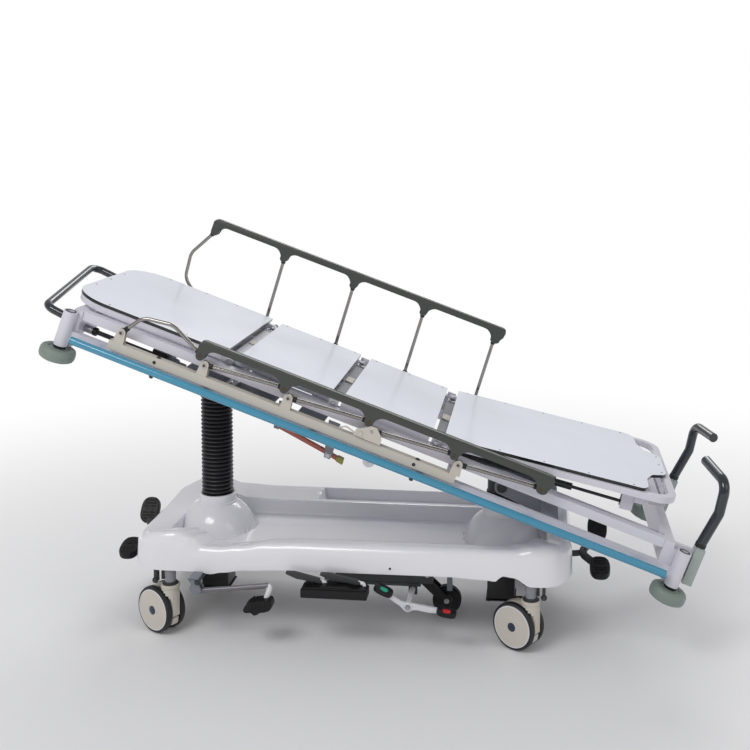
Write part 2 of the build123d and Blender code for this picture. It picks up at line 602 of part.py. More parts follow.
# ---------------------------------------------------------------- push handles
with BuildPart(DECK) as foot_handle:
    rod(DECK, [(-725, -250, -60), (-846, -250, -46), (-918, 250, -6), (-725, 250, -24)], 13, 36)
    blocks([(-728, -722, -264, -236, -75, -40), (-728, -722, 234, 266, -46, -6)])
write(foot_handle.part, "foot_handle")

for side_name, y, swing in (("near", -1, 18), ("far", 1, 16)):
    with BuildPart() as push_handle:
        reach = 148
        tip = (HANDLE_D + y * reach * sin(radians(swing)), y * (HANDLE_Y - reach * cos(radians(swing))), 243)
        leg = (HANDLE_D, y * HANDLE_Y)
        rod(DECK, [(*leg, 34), (HANDLE_D + 14, y * HANDLE_Y, 140), (*leg, 232), tip], 16, 40)
        with BuildSketch(DECK.offset(-86)):
            with Locations(leg):
                Circle(12)
        extrude(amount=124)
    write(push_handle.part, f"push_handle_{side_name}")

# ---------------------------------------------------------------- mattress platform
LEG_TOP, THIGH_TOP, SEAT_TOP, BACK_TOP = 43.0, 38.0, 37.0, 40.0
BOARD = 10.0
FRAME_N = 12.0


def leg_outline(inset, radius, right):
    """The leg section's outline: square at the knee, rounded at the foot."""
    edge, left = BOARD_Y - inset, -772 + inset
    with BuildLine() as outline:
        FilletPolyline((right, edge), (left, edge), (left, -edge), (right, -edge), radius=radius)
        Line((right, -edge), (right, edge))
    make_face(outline.edges())


with BuildPart(DECK) as leg_board:
    with BuildSketch(DECK.offset(LEG_TOP - BOARD)):
        leg_outline(0, 125, -242)
    extrude(amount=BOARD)
write(leg_board.part, "leg_board")

with BuildPart(DECK) as leg_frame:
    with BuildSketch(DECK.offset(FRAME_N)):
        leg_outline(3, 122, -246)
        with BuildLine():
            FilletPolyline((-200, 272), (-747, 272), (-747, -272), (-200, -272), radius=100)
            Line((-200, -272), (-200, 272))
        make_face(mode=Mode.SUBTRACT)
    extrude(amount=LEG_TOP - BOARD - FRAME_N)
    for y in (-1, 1):
        blocks([(-250, LEG_HINGE[0], min(y * 274, y * 292), max(y * 274, y * 292), 6, 24)])
        cross_pin(*LEG_HINGE, y * 274, y * 292, 9)
    for y in (-1, 1):
        cross_pin(*LEG_HINGE, y * 270, y * 300, 6 + CLEARANCE, mode=Mode.SUBTRACT)
write(leg_frame.part, "leg_frame")

with BuildPart(DECK) as thigh_board:
    blocks([(-202, 107, -BOARD_Y, BOARD_Y, THIGH_TOP - BOARD, THIGH_TOP)])
write(thigh_board.part, "thigh_board")

with BuildPart(DECK) as thigh_frame:
    blocks(both_sides([(LEG_HINGE[0], THIGH_HINGE[0], 250, 270, 7, 23), (-200, 104, 250, 270, 7, THIGH_TOP - BOARD)]))
    blocks([(-240, -204, -252, 252, 9, 16), (-234, -210, -24, 24, 16, 20)])
    for y in (-1, 1):
        cross_pin(*LEG_HINGE, y * 250, y * 296, 6)
        cross_pin(*LEG_HINGE, y * 250, y * 270, 8)
        cross_pin(*THIGH_HINGE, y * 250, y * 270, 8)
    for y in (-1, 1):
        cross_pin(*THIGH_HINGE, y * 240, y * 280, 6 + CLEARANCE, mode=Mode.SUBTRACT)
write(thigh_frame.part, "thigh_frame")

with BuildPart(DECK) as seat_board:
    blocks([(147, 444, -BOARD_Y, BOARD_Y, SEAT_TOP - BOARD, SEAT_TOP)])
write(seat_board.part, "seat_board")

# A curved cut-out at each head corner leaves room for a hand round the frame's loop.
CUT_OUT = [(1112.0, BOARD_Y), (1127.0, 268.0), (1130.0, 190.0), (1152.0, 134.0), (1192.0, 106.0), (1203.0, 84.0)]
with BuildPart(BACK) as back_board:
    with BuildSketch(BACK.offset(BACK_TOP - BOARD)):
        with BuildLine():
            far_side = [(487, BOARD_Y), *CUT_OUT]
            near_side = [(d, -y) for d, y in reversed(far_side)]
            FilletPolyline(*far_side, *near_side, radius=8)
            Line((487, -BOARD_Y), (487, BOARD_Y))
        make_face()
    extrude(amount=BOARD)
write(back_board.part, "back_board")

with BuildPart(BACK) as back_frame:
    with BuildSketch(BACK.offset(10)):
        with BuildLine():
            FilletPolyline((500, 308), (1218, 308), (1218, -308), (500, -308), radius=72)
            Line((500, -308), (500, 308))
        make_face()
        with BuildLine():
            FilletPolyline((524, 284), (1194, 284), (1194, -284), (524, -284), radius=50)
            Line((524, -284), (524, 284))
        make_face(mode=Mode.SUBTRACT)
    extrude(amount=BACK_TOP - BOARD - 10)
    blocks([(1056, 1096, -290, 290, 10, 28)])
    blocks(both_sides([(BACK_HINGE[0], 560, 262, 284, 7, 23), (500, 560, 262, 288, 10, 28)]))
    blocks(both_sides([(1058, 1096, 222, 227, -52, 12), (1058, 1096, 253, 258, -52, 12)]))
    blocks(both_sides([(1096, 1138, 254.5, 262, -22, 14)]))
    for y in (-1, 1):
        cross_pin(*BACK_HINGE, y * 262, y * 284, 8)
        cross_pin(*GAS_EYE, y * 222, y * 258, 5)
    for y in (-1, 1):
        cross_pin(*BACK_HINGE, y * 258, y * 287, 6 + CLEARANCE, mode=Mode.SUBTRACT)
        cross_pin(1130, -14, y * 250, y * 268, 4 + CLEARANCE, mode=Mode.SUBTRACT)
write(back_frame.part, "back_frame")

with BuildPart(BACK) as release_lever:
    rod(BACK, [(1130, -263, -14), (1130, -249, -14), (1188, -249, -12), (1188, 249, -12), (1130, 249, -14), (1130, 263, -14)], 4, 6)
write(release_lever.part, "release_lever")

# ---------------------------------------------------------------- gas springs and knee crank
# Each spring's line runs from the deck's lug to the backrest's bracket.
eye_world = BACK.from_local_coords((GAS_EYE[0], 0, GAS_EYE[1]))
eye_deck = DECK.to_local_coords(eye_world)
GAS_ANGLE = degrees(atan2(eye_deck.Z - GAS_PIVOT[1], eye_deck.X - GAS_PIVOT[0]))
GAS_LENGTH = sqrt((eye_deck.Z - GAS_PIVOT[1]) ** 2 + (eye_deck.X - GAS_PIVOT[0]) ** 2)
GAS_BODY, GAS_R, ROD_R, EYE_GAP = 368.0, 11.0, 5.0, 9.5
spring_line = Plane(DECK.location * Location((GAS_PIVOT[0], 0, GAS_PIVOT[1]), (0, -GAS_ANGLE, 0)))

with BuildPart(spring_line) as gas_cylinders:
    for y in (-1, 1):
        cross_pin(0, 0, y * 229, y * 251, 9)
        blocks([(4, 22, min(y * 234, y * 246), max(y * 234, y * 246), -6, 6)])
        with Locations(Location((16, y * GAS_Y, 0), (0, 90, 0))):
            Cylinder(GAS_R, GAS_BODY - 16, align=(Align.CENTER, Align.CENTER, Align.MIN))
    for y in (-1, 1):
        cross_pin(0, 0, y * 220, y * 260, 5 + CLEARANCE, mode=Mode.SUBTRACT)
        with Locations(Location((26, y * GAS_Y, 0), (0, 90, 0))):
            Cylinder(ROD_R + CLEARANCE, GAS_BODY, align=(Align.CENTER, Align.CENTER, Align.MIN), mode=Mode.SUBTRACT)
write(gas_cylinders.part, "gas_cylinders")

with BuildPart(spring_line) as gas_rods:
    for y in (-1, 1):
        with Locations(Location((GAS_BODY - 90, y * GAS_Y, 0), (0, 90, 0))):
            Cylinder(ROD_R, GAS_LENGTH - GAS_BODY + 72, align=(Align.CENTER, Align.CENTER, Align.MIN))
        cross_pin(GAS_LENGTH, 0, y * 231, y * 249, 5 + EYE_GAP + 4.5)
    for y in (-1, 1):
        cross_pin(GAS_LENGTH, 0, y * 225, y * 255, 5 + EYE_GAP, mode=Mode.SUBTRACT)
write(gas_rods.part, "gas_rods")

with BuildPart(DECK) as knee_crank:
    with Locations(Location((-735, *CRANK), (0, 90, 0))):
        Cylinder(9, 287, align=(Align.CENTER, Align.CENTER, Align.MIN))
        Cylinder(12, 12, align=(Align.CENTER, Align.CENTER, Align.MIN))
    with Locations(Location((-690, *CRANK), (0, 90, 0))):
        Cylinder(13, 30, align=(Align.CENTER, Align.CENTER, Align.MIN))
write(knee_crank.part, "knee_crank")
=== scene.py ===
import json
from math import cos, pi, radians, sin, sqrt

import bmesh
import bpy
from mathutils import Matrix, Vector


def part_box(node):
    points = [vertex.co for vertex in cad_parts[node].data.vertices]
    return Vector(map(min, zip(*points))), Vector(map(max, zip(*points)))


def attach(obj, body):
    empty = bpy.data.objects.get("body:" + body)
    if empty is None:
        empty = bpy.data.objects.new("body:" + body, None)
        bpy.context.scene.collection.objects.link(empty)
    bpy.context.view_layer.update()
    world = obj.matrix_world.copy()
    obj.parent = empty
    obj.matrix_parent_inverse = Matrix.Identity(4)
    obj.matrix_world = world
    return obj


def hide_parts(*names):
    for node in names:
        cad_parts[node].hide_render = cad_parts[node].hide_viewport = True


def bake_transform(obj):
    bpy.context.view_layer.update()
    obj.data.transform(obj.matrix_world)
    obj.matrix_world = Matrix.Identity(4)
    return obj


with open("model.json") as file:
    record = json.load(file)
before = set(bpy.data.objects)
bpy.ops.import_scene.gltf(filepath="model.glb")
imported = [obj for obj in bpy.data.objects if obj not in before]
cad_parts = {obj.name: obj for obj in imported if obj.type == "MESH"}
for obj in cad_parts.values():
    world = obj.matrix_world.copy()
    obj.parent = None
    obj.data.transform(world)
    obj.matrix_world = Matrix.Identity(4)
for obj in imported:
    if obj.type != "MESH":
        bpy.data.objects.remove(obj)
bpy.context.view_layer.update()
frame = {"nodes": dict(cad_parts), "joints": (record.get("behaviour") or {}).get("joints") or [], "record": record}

# ---------------------------------------------------------------- places read from the frame
MM = 0.001
NODES = frame["nodes"]
JOINTS = {joint["name"]: joint for joint in frame["joints"]}
NORMAL = Vector(JOINTS["bumper_roll_near_foot"]["axis"]).normalized()
ALONG = Vector((0, 1, 0)).cross(NORMAL)
MIDDLE_POST = Vector(JOINTS["near_post_3_fold"]["pos_m"])
DECK_ORIGIN = Vector((MIDDLE_POST.x, 0, MIDDLE_POST.z))
HEAD_COLUMN = Vector(JOINTS["tilt_by_head"]["pos_m"])


def frame_matrix(origin, x_axis, y_axis, z_axis):
    """The matrix that takes a local frame, in millimetres, to the row frame, in metres."""
    turn = Matrix((x_axis, y_axis, z_axis)).transposed().to_4x4()
    return Matrix.Translation(origin) @ turn @ Matrix.Scale(MM, 4)


WORLD = Matrix.Scale(MM, 4)
DECK = frame_matrix(DECK_ORIGIN, ALONG, Vector((0, 1, 0)), NORMAL)
BACK_TILT = radians(7.2)
BACK_HINGE = DECK.inverted() @ Vector(JOINTS["back_lift"]["pos_m"])
BACK = (
    DECK
    @ Matrix.Translation(BACK_HINGE)
    @ Matrix.Rotation(-BACK_TILT, 4, "Y")
    @ Matrix.Translation(-BACK_HINGE)
)


# ---------------------------------------------------------------- materials
def rgb(red, green, blue):
    """An 8-bit display colour as a linear one."""
    channels = []
    for value in (red, green, blue):
        value /= 255
        channels.append(value / 12.92 if value <= 0.04045 else ((value + 0.055) / 1.055) ** 2.4)
    return (*channels, 1.0)


def finish_of(name, colour, rough, metal=0.0, coat=0.0, vary=0.05, rough_vary=0.08, grain=900.0, bump=0.06,
              stretch=(1, 1, 1), dark_sides=False, spec=0.5):
    """A node material: slow colour and gloss drift, and a fine bump at the scale of its grain."""
    mat = bpy.data.materials.new(name)
    mat.use_nodes = True
    nodes, links = mat.node_tree.nodes, mat.node_tree.links
    shader = nodes["Principled BSDF"]
    shader.inputs["Metallic"].default_value = metal
    shader.inputs["Coat Weight"].default_value = coat
    shader.inputs["Coat Roughness"].default_value = 0.12
    shader.inputs["Specular IOR Level"].default_value = spec
    coords = nodes.new("ShaderNodeTexCoord")
    mapping = nodes.new("ShaderNodeMapping")
    mapping.inputs["Scale"].default_value = stretch
    links.new(coords.outputs["Object"], mapping.inputs["Vector"])

    def noise(scale, detail):
        texture = nodes.new("ShaderNodeTexNoise")
        texture.inputs["Scale"].default_value = scale
        texture.inputs["Detail"].default_value = detail
        links.new(mapping.outputs["Vector"], texture.inputs["Vector"])
        return texture.outputs["Fac"]

    slow, fine = noise(5.0, 4.0), noise(grain, 3.0)
    tint = nodes.new("ShaderNodeMix")
    tint.data_type = "RGBA"
    darker = tuple(c * (1 - vary) for c in colour[:3]) + (1.0,)
    lighter = tuple(min(1.0, c * (1 + vary)) for c in colour[:3]) + (1.0,)
    tint.inputs[6].default_value, tint.inputs[7].default_value = darker, lighter
    links.new(slow, tint.inputs[0])
    result = tint.outputs[2]
    if dark_sides:
        result = black_edge(nodes, links, coords, result)
    links.new(result, shader.inputs["Base Color"])
    gloss = nodes.new("ShaderNodeMapRange")
    gloss.inputs["To Min"].default_value = max(0.02, rough - rough_vary)
    gloss.inputs["To Max"].default_value = min(1.0, rough + rough_vary)
    links.new(slow, gloss.inputs["Value"])
    links.new(gloss.outputs["Result"], shader.inputs["Roughness"])
    height = nodes.new("ShaderNodeBump")
    height.inputs["Strength"].default_value = bump
    height.inputs["Distance"].default_value = 0.0006
    links.new(fine, height.inputs["Height"])
    links.new(height.outputs["Normal"], shader.inputs["Normal"])
    return mat


def black_edge(nodes, links, coords, face_colour):
    """Compact laminate: its faces keep their colour and its cut edges show the black core."""
    level = nodes.new("ShaderNodeVectorMath")
    level.operation = "DOT_PRODUCT"
    level.inputs[1].default_value = NORMAL
    links.new(coords.outputs["Normal"], level.inputs[0])
    flat = nodes.new("ShaderNodeMath")
    flat.operation = "ABSOLUTE"
    links.new(level.outputs["Value"], flat.inputs[0])
    is_face = nodes.new("ShaderNodeMath")
    is_face.operation = "GREATER_THAN"
    is_face.inputs[1].default_value = 0.8
    links.new(flat.outputs["Value"], is_face.inputs[0])
    pick = nodes.new("ShaderNodeMix")
    pick.data_type = "RGBA"
    pick.inputs[6].default_value = rgb(16, 16, 18)
    links.new(is_face.outputs["Value"], pick.inputs[0])
    links.new(face_colour, pick.inputs[7])
    return pick.outputs[2]


# Each finish: its 8-bit colour, its roughness, and what else it needs.
FINISHES = {
    "cover_plastic": ((234, 233, 238), 0.2, dict(coat=0.5, vary=0.02, grain=260, bump=0.03)),
    "frame_paint": ((212, 210, 220), 0.34, dict(coat=0.2, vary=0.03, grain=1400, bump=0.08)),
    "bracket_paint": ((120, 124, 132), 0.4, dict(coat=0.1, vary=0.08, grain=1300, bump=0.1)),
    "chassis_paint": ((52, 53, 55), 0.5, dict(vary=0.15, grain=900, bump=0.15)),
    "cylinder_paint": ((26, 26, 28), 0.35, dict(coat=0.2, vary=0.2)),
    "bellows_rubber": ((44, 44, 47), 0.36, dict(vary=0.15, grain=1500, bump=0.08, spec=0.6)),
    "ram_steel": ((205, 206, 210), 0.16, dict(metal=1.0, vary=0.05, stretch=(1, 1, 12))),
    "ram_head_plastic": ((28, 28, 31), 0.45, dict(vary=0.2, bump=0.1)),
    "castor_plastic": ((202, 196, 184), 0.4, dict(vary=0.04, grain=1100, bump=0.08)),
    "tyre_grey": ((30, 31, 36), 0.5, dict(vary=0.2, grain=1600, bump=0.12)),
    "bumper_plastic": ((126, 138, 132), 0.42, dict(vary=0.06, grain=1200, bump=0.12)),
    "tube_blue": ((58, 140, 172), 0.22, dict(coat=0.7, vary=0.04, grain=700, bump=0.04)),
    "rail_channel_plastic": ((196, 190, 180), 0.42, dict(vary=0.04, grain=1200, bump=0.1)),
    "rail_top_plastic": ((62, 64, 61), 0.4, dict(vary=0.1, grain=1500, bump=0.2)),
    "post_chrome": ((158, 154, 150), 0.16, dict(metal=1.0, vary=0.08, rough_vary=0.05)),
    "board_laminate": ((236, 239, 250), 0.22,
                       dict(coat=0.15, vary=0.012, grain=500, bump=0.02, dark_sides=True)),
    "handle_paint": ((24, 27, 40), 0.22, dict(coat=0.6, vary=0.15, grain=500, bump=0.04)),
    "spring_black": ((24, 24, 26), 0.3, dict(coat=0.3, vary=0.2)),
    "spring_rod_steel": ((60, 60, 64), 0.25, dict(metal=0.8, vary=0.1)),
    "lever_wire": ((190, 190, 196), 0.3, dict(metal=0.9, vary=0.08)),
    "pedal_paint": ((17, 17, 19), 0.45, dict(vary=0.2, grain=1300, bump=0.2, spec=0.35)),
    "rocker_plastic": ((214, 214, 220), 0.3, dict(coat=0.2, vary=0.04)),
    "crank_rod": ((30, 30, 32), 0.4, dict(vary=0.2)),
    "grey_rod": ((112, 110, 116), 0.32, dict(metal=0.35, coat=0.2, vary=0.08)),
    "hub_plastic": ((206, 199, 190), 0.36, dict(vary=0.04, grain=900, bump=0.06)),
    "cap_blue": ((20, 40, 66), 0.3, dict(coat=0.3, vary=0.1)),
    "oval_green": ((18, 160, 128), 0.35, dict(coat=0.2, vary=0.06)),
    "oval_red": ((205, 22, 26), 0.35, dict(coat=0.2, vary=0.06)),
    "bolt_steel": ((176, 176, 182), 0.28, dict(metal=1.0, vary=0.1)),
    "stem_paint": ((136, 136, 144), 0.3, dict(coat=0.3, vary=0.06)),
    "pin_bronze": ((96, 84, 60), 0.35, dict(metal=0.9, vary=0.15)),
    "bush_black": ((20, 20, 21), 0.42, dict(vary=0.2, grain=1400, bump=0.1)),
    "socket_grey": ((160, 170, 166), 0.4, dict(vary=0.06)),
    "cap_green": ((150, 150, 70), 0.45, dict(vary=0.15)),
    "bar_rust": ((168, 92, 78), 0.45, dict(metal=0.2, vary=0.2)),
    "knob_white": ((225, 225, 228), 0.3, dict(coat=0.3, vary=0.03)),
}
MATERIALS = {name: finish_of(name, rgb(*colour), rough, **more)
             for name, (colour, rough, more) in FINISHES.items()}


# ---------------------------------------------------------------- carried-over CAD nodes
def sharp_by_angle():
    """A small node group that smooths a mesh except where its faces meet at a clear angle."""
    group = bpy.data.node_groups.new("sharp_by_angle", "GeometryNodeTree")
    group.interface.new_socket("Geometry", in_out="INPUT", socket_type="NodeSocketGeometry")
    group.interface.new_socket("Geometry", in_out="OUTPUT", socket_type="NodeSocketGeometry")
    nodes, links = group.nodes, group.links
    start, end = nodes.new("NodeGroupInput"), nodes.new("NodeGroupOutput")
    all_smooth = nodes.new("GeometryNodeSetShadeSmooth")
    angle = nodes.new("GeometryNodeInputMeshEdgeAngle")
    small = nodes.new("FunctionNodeCompare")
    small.operation = "LESS_EQUAL"
    small.inputs["B"].default_value = radians(32)
    edges = nodes.new("GeometryNodeSetShadeSmooth")
    edges.domain = "EDGE"
    links.new(start.outputs[0], all_smooth.inputs[0])
    links.new(all_smooth.outputs[0], edges.inputs[0])
    links.new(angle.outputs["Unsigned Angle"], small.inputs["A"])
    links.new(small.outputs[0], edges.inputs["Shade Smooth"])
    links.new(edges.outputs[0], end.inputs[0])
    return group


SHARP = sharp_by_angle()


def carry_over(node, slot_name, bevel):
    """Gives a CAD node its material, and softens its edges with modifiers only."""
    obj = NODES[node]
    obj.data.materials.clear()
    obj.data.materials.append(MATERIALS[slot_name])
    if "custom_normal" in obj.data.attributes:
        obj.data.attributes.remove(obj.data.attributes["custom_normal"])
    weld = obj.modifiers.new("weld", "WELD")
    weld.merge_threshold = 2e-5
    if bevel:
        round_edges(obj, bevel)
    shade_by_angle(obj)


def shade_by_angle(obj):
    shade = obj.modifiers.new("shade", "NODES")
    shade.node_group = SHARP
    flat = obj.modifiers.new("flat_faces", "WEIGHTED_NORMAL")
    flat.keep_sharp = True


def round_edges(obj, width, segments=2):
    bevel = obj.modifiers.new("bevel", "BEVEL")
    bevel.width = width * MM
    bevel.segments = segments
    bevel.limit_method = "ANGLE"
    bevel.angle_limit = radians(38)


EDGE_WIDTH = {
    "seat_board": 0.5, "leg_board": 0.5, "thigh_board": 0.5, "back_board": 0.5,
    "near_top_rail": 2.2, "far_top_rail": 2.2, "deck_frame": 0.9, "pivot_brackets": 1.0,
    "rail_channels": 1.0, "near_latch": 0.5, "far_latch": 0.5, "leg_frame": 1.2, "thigh_frame": 1.2,
    "back_frame": 1.4, "chassis_frame": 1.2, "lift_pedal": 2.5, "brake_pedals": 3.0, "steer_rocker": 2.0,
    "fifth_wheel_arm": 1.0,
}
for part in frame["record"]["subparts"]:
    carry_over(part["node"], part["material_slot"], EDGE_WIDTH.get(part["node"], 0))


# ---------------------------------------------------------------- mesh helpers
def make(name, mesh_data, material, body, matrix=WORLD, bevel=0, replaces=None):
    """A new piece from (vertices, faces) in a local frame, riding on its body, perhaps for a CAD node."""
    vertices, faces = mesh_data
    mesh = bpy.data.meshes.new(name)
    mesh.from_pydata([tuple(matrix @ Vector(v)) for v in vertices], [], faces)
    welder = bmesh.new()
    welder.from_mesh(mesh)
    bmesh.ops.remove_doubles(welder, verts=welder.verts, dist=1e-6)
    bmesh.ops.recalc_face_normals(welder, faces=welder.faces)
    welder.to_mesh(mesh)
    welder.free()
    obj = bpy.data.objects.new(name, mesh)
    bpy.context.scene.collection.objects.link(obj)
    mesh.materials.append(MATERIALS[material])
    if bevel:
        round_edges(obj, bevel)
    shade_by_angle(obj)
    if body:
        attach(obj, body)
    if replaces:
        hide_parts(replaces)
    return obj


def joined(*parts):
    """Several (vertices, faces) as one."""
    vertices, faces = [], []
    for more_vertices, more_faces in parts:
        offset = len(vertices)
        vertices += [tuple(v) for v in more_vertices]
        faces += [[i + offset for i in face] for face in more_faces]
    return vertices, faces


def moved(part, matrix):
    return [tuple(matrix @ Vector(v)) for v in part[0]], part[1]


def loft(loops, closed=True, cap_start=False, cap_end=False):
    """Faces between loops of the same number of points."""
    count = len(loops[0])
    vertices = [tuple(p) for loop in loops for p in loop]
    faces = []
    for k in range(len(loops) - 1):
        for i in range(count if closed else count - 1):
            j = (i + 1) % count
            faces.append([k * count + i, k * count + j, (k + 1) * count + j, (k + 1) * count + i])
    if cap_start:
        faces.append(list(range(count))[::-1])
    if cap_end:
        faces.append([(len(loops) - 1) * count + i for i in range(count)])
    return vertices, faces


def lathe(profile, steps=56):
    """Turns (radius, height) points about z."""
    loops = []
    for radius, height in profile:
        loops.append([(radius * cos(2 * pi * i / steps), radius * sin(2 * pi * i / steps), height)
                      for i in range(steps)])
    return loft(loops)


def box(x0, x1, y0, y1, z0, z1):
    vertices = [(x, y, z) for z in (z0, z1) for x, y in ((x0, y0), (x1, y0), (x1, y1), (x0, y1))]
    faces = [[3, 2, 1, 0], [4, 5, 6, 7], [0, 1, 5, 4], [1, 2, 6, 5], [2, 3, 7, 6], [3, 0, 4, 7]]
    return vertices, faces


def slab(outline, low, high, axis="z"):
    """A plate from a 2-D outline. Along z it is (x, y); along y it is (x, z)."""
    def place(point, level):
        return (point[0], point[1], level) if axis == "z" else (point[0], level, point[1])

    return loft([[place(p, low) for p in outline], [place(p, high) for p in outline]], cap_start=True,
                cap_end=True)


def bent_path(points, bend, steps=7):
    """The points with each corner swapped for an arc."""
    points = [Vector(p) for p in points]
    path = [points[0]]
    for before, corner, after in zip(points, points[1:], points[2:]):
        a, b = (before - corner).normalized(), (after - corner).normalized()
        half = a.angle(b) / 2
        if abs(half - pi / 2) < 1e-3:
            path.append(corner)
            continue
        reach = min(bend / max(1e-6, abs(sin(half) / cos(half))),
                    0.49 * min((before - corner).length, (after - corner).length))
        start, end = corner + a * reach, corner + b * reach
        for k in range(steps + 1):
            t = k / steps
            path.append((1 - t) ** 2 * start + 2 * t * (1 - t) * corner + t ** 2 * end)
    path.append(points[-1])
    return path


def tube(points, radius, bend=20.0, sides=18, dome=0.35):
    """A round bar along a bent path, with slightly domed ends."""
    path = bent_path(points, bend)
    loops = []
    tangents = []
    for i, p in enumerate(path):
        before, after = path[max(0, i - 1)], path[min(len(path) - 1, i + 1)]
        tangents.append((after - before).normalized())
    side = tangents[0].orthogonal().normalized()
    for i, (p, tangent) in enumerate(zip(path, tangents)):
        side = (side - tangent * side.dot(tangent)).normalized()
        other = tangent.cross(side)
        ring = [(cos(2 * pi * k / sides), sin(2 * pi * k / sides)) for k in range(sides)]
        if i == 0:
            for scale, back in ((0.02, dome), (0.7, dome * 0.7), (0.93, dome * 0.3)):
                middle = p - tangent * radius * back
                loops.append([middle + (side * c + other * s) * radius * scale for c, s in ring])
        loops.append([p + (side * c + other * s) * radius for c, s in ring])
        if i == len(path) - 1:
            for scale, out in ((0.93, dome * 0.3), (0.7, dome * 0.7), (0.02, dome)):
                middle = p + tangent * radius * out
                loops.append([middle + (side * c + other * s) * radius * scale for c, s in ring])
    return loft(loops, cap_start=True, cap_end=True)


def ease(t):
    t = min(1.0, max(0.0, t))
    return t * t * (3 - 2 * t)


def through(points, x):
    """Smooth interpolation through (x, value) points."""
    if x <= points[0][0]:
        return points[0][1]
    for (x0, v0), (x1, v1) in zip(points, points[1:]):
        if x <= x1:
            return v0 + (v1 - v0) * ease((x - x0) / (x1 - x0))
    return points[-1][1]


# ---------------------------------------------------------------- moulded base cover
FOOT_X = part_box("foot_ram")[0].x / MM + 50
HEAD_X = HEAD_COLUMN.x / MM
COVER_LOW, COVER_HIGH = (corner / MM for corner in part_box("base_cover"))
RIM_NEAR = [(-780, 310), (-710, 332), (-645, 337), (-600, 322), (-556, 292), (-500, 291), (-440, 297),
            (-340, 311), (-220, 316), (400, 317), (460, 319), (520, 331), (575, 341), (631, 322)]
RIM_FAR = [(-780, 310), (-710, 325), (-640, 326), (-570, 308), (-450, 302), (400, 302), (470, 306),
           (550, 326), (590, 328), (631, 316)]
EDGE_LOW = [(-780, 224), (-720, 215), (-545, 215), (-512, 209), (-470, 216), (-400, 226), (-268, 232),
            (250, 234), (360, 229), (390, 226), (412, 244), (446, 240), (500, 213), (580, 212), (631, 224)]
FLOOR_Z, DOME_R, DOME_TOP = 250.0, 126.0, 349.0


def rounded_loop(x0, x1, y0, y1, radius, along_x=112, along_y=36, corner=12):
    """Points round a rounded rectangle, the same number on each stretch whatever its size."""
    points = []
    stretches = [
        ((x0 + radius, y0), (x1 - radius, y0), along_x, (x1 - radius, y0 + radius), -pi / 2),
        ((x1, y0 + radius), (x1, y1 - radius), along_y, (x1 - radius, y1 - radius), 0.0),
        ((x1 - radius, y1), (x0 + radius, y1), along_x, (x0 + radius, y1 - radius), pi / 2),
        ((x0, y1 - radius), (x0, y0 + radius), along_y, (x0 + radius, y0 + radius), pi),
    ]
    for (ax, ay), (bx, by), count, (cx, cy), start in stretches:
        for k in range(count):
            t = k / count
            points.append(Vector((ax + (bx - ax) * t, ay + (by - ay) * t)))
        for k in range(corner):
            angle = start + pi / 2 * k / corner
            points.append(Vector((cx + radius * cos(angle), cy + radius * sin(angle))))
    return points


def rim_height(x, y):
    near, far = through(RIM_NEAR, x), through(RIM_FAR, x)
    return near + (far - near) * ease((y + 260) / 520)


def raised(x, y, z):
    """Adds the domes round the columns, and sinks the pocket in the far shelf."""
    for column in (FOOT_X, HEAD_X):
        r = sqrt((x - column) ** 2 + y ** 2) / DOME_R
        if r < 1:
            dome = FLOOR_Z + (DOME_TOP - FLOOR_Z) * (1 - r ** 2.6) ** 0.62
            z = max(z, dome)
    pocket = ease((x + 262) / 16) * ease((430 - x) / 16) * ease((y - 164) / 10) * ease((288 - y) / 10)
    return z - 36 * pocket


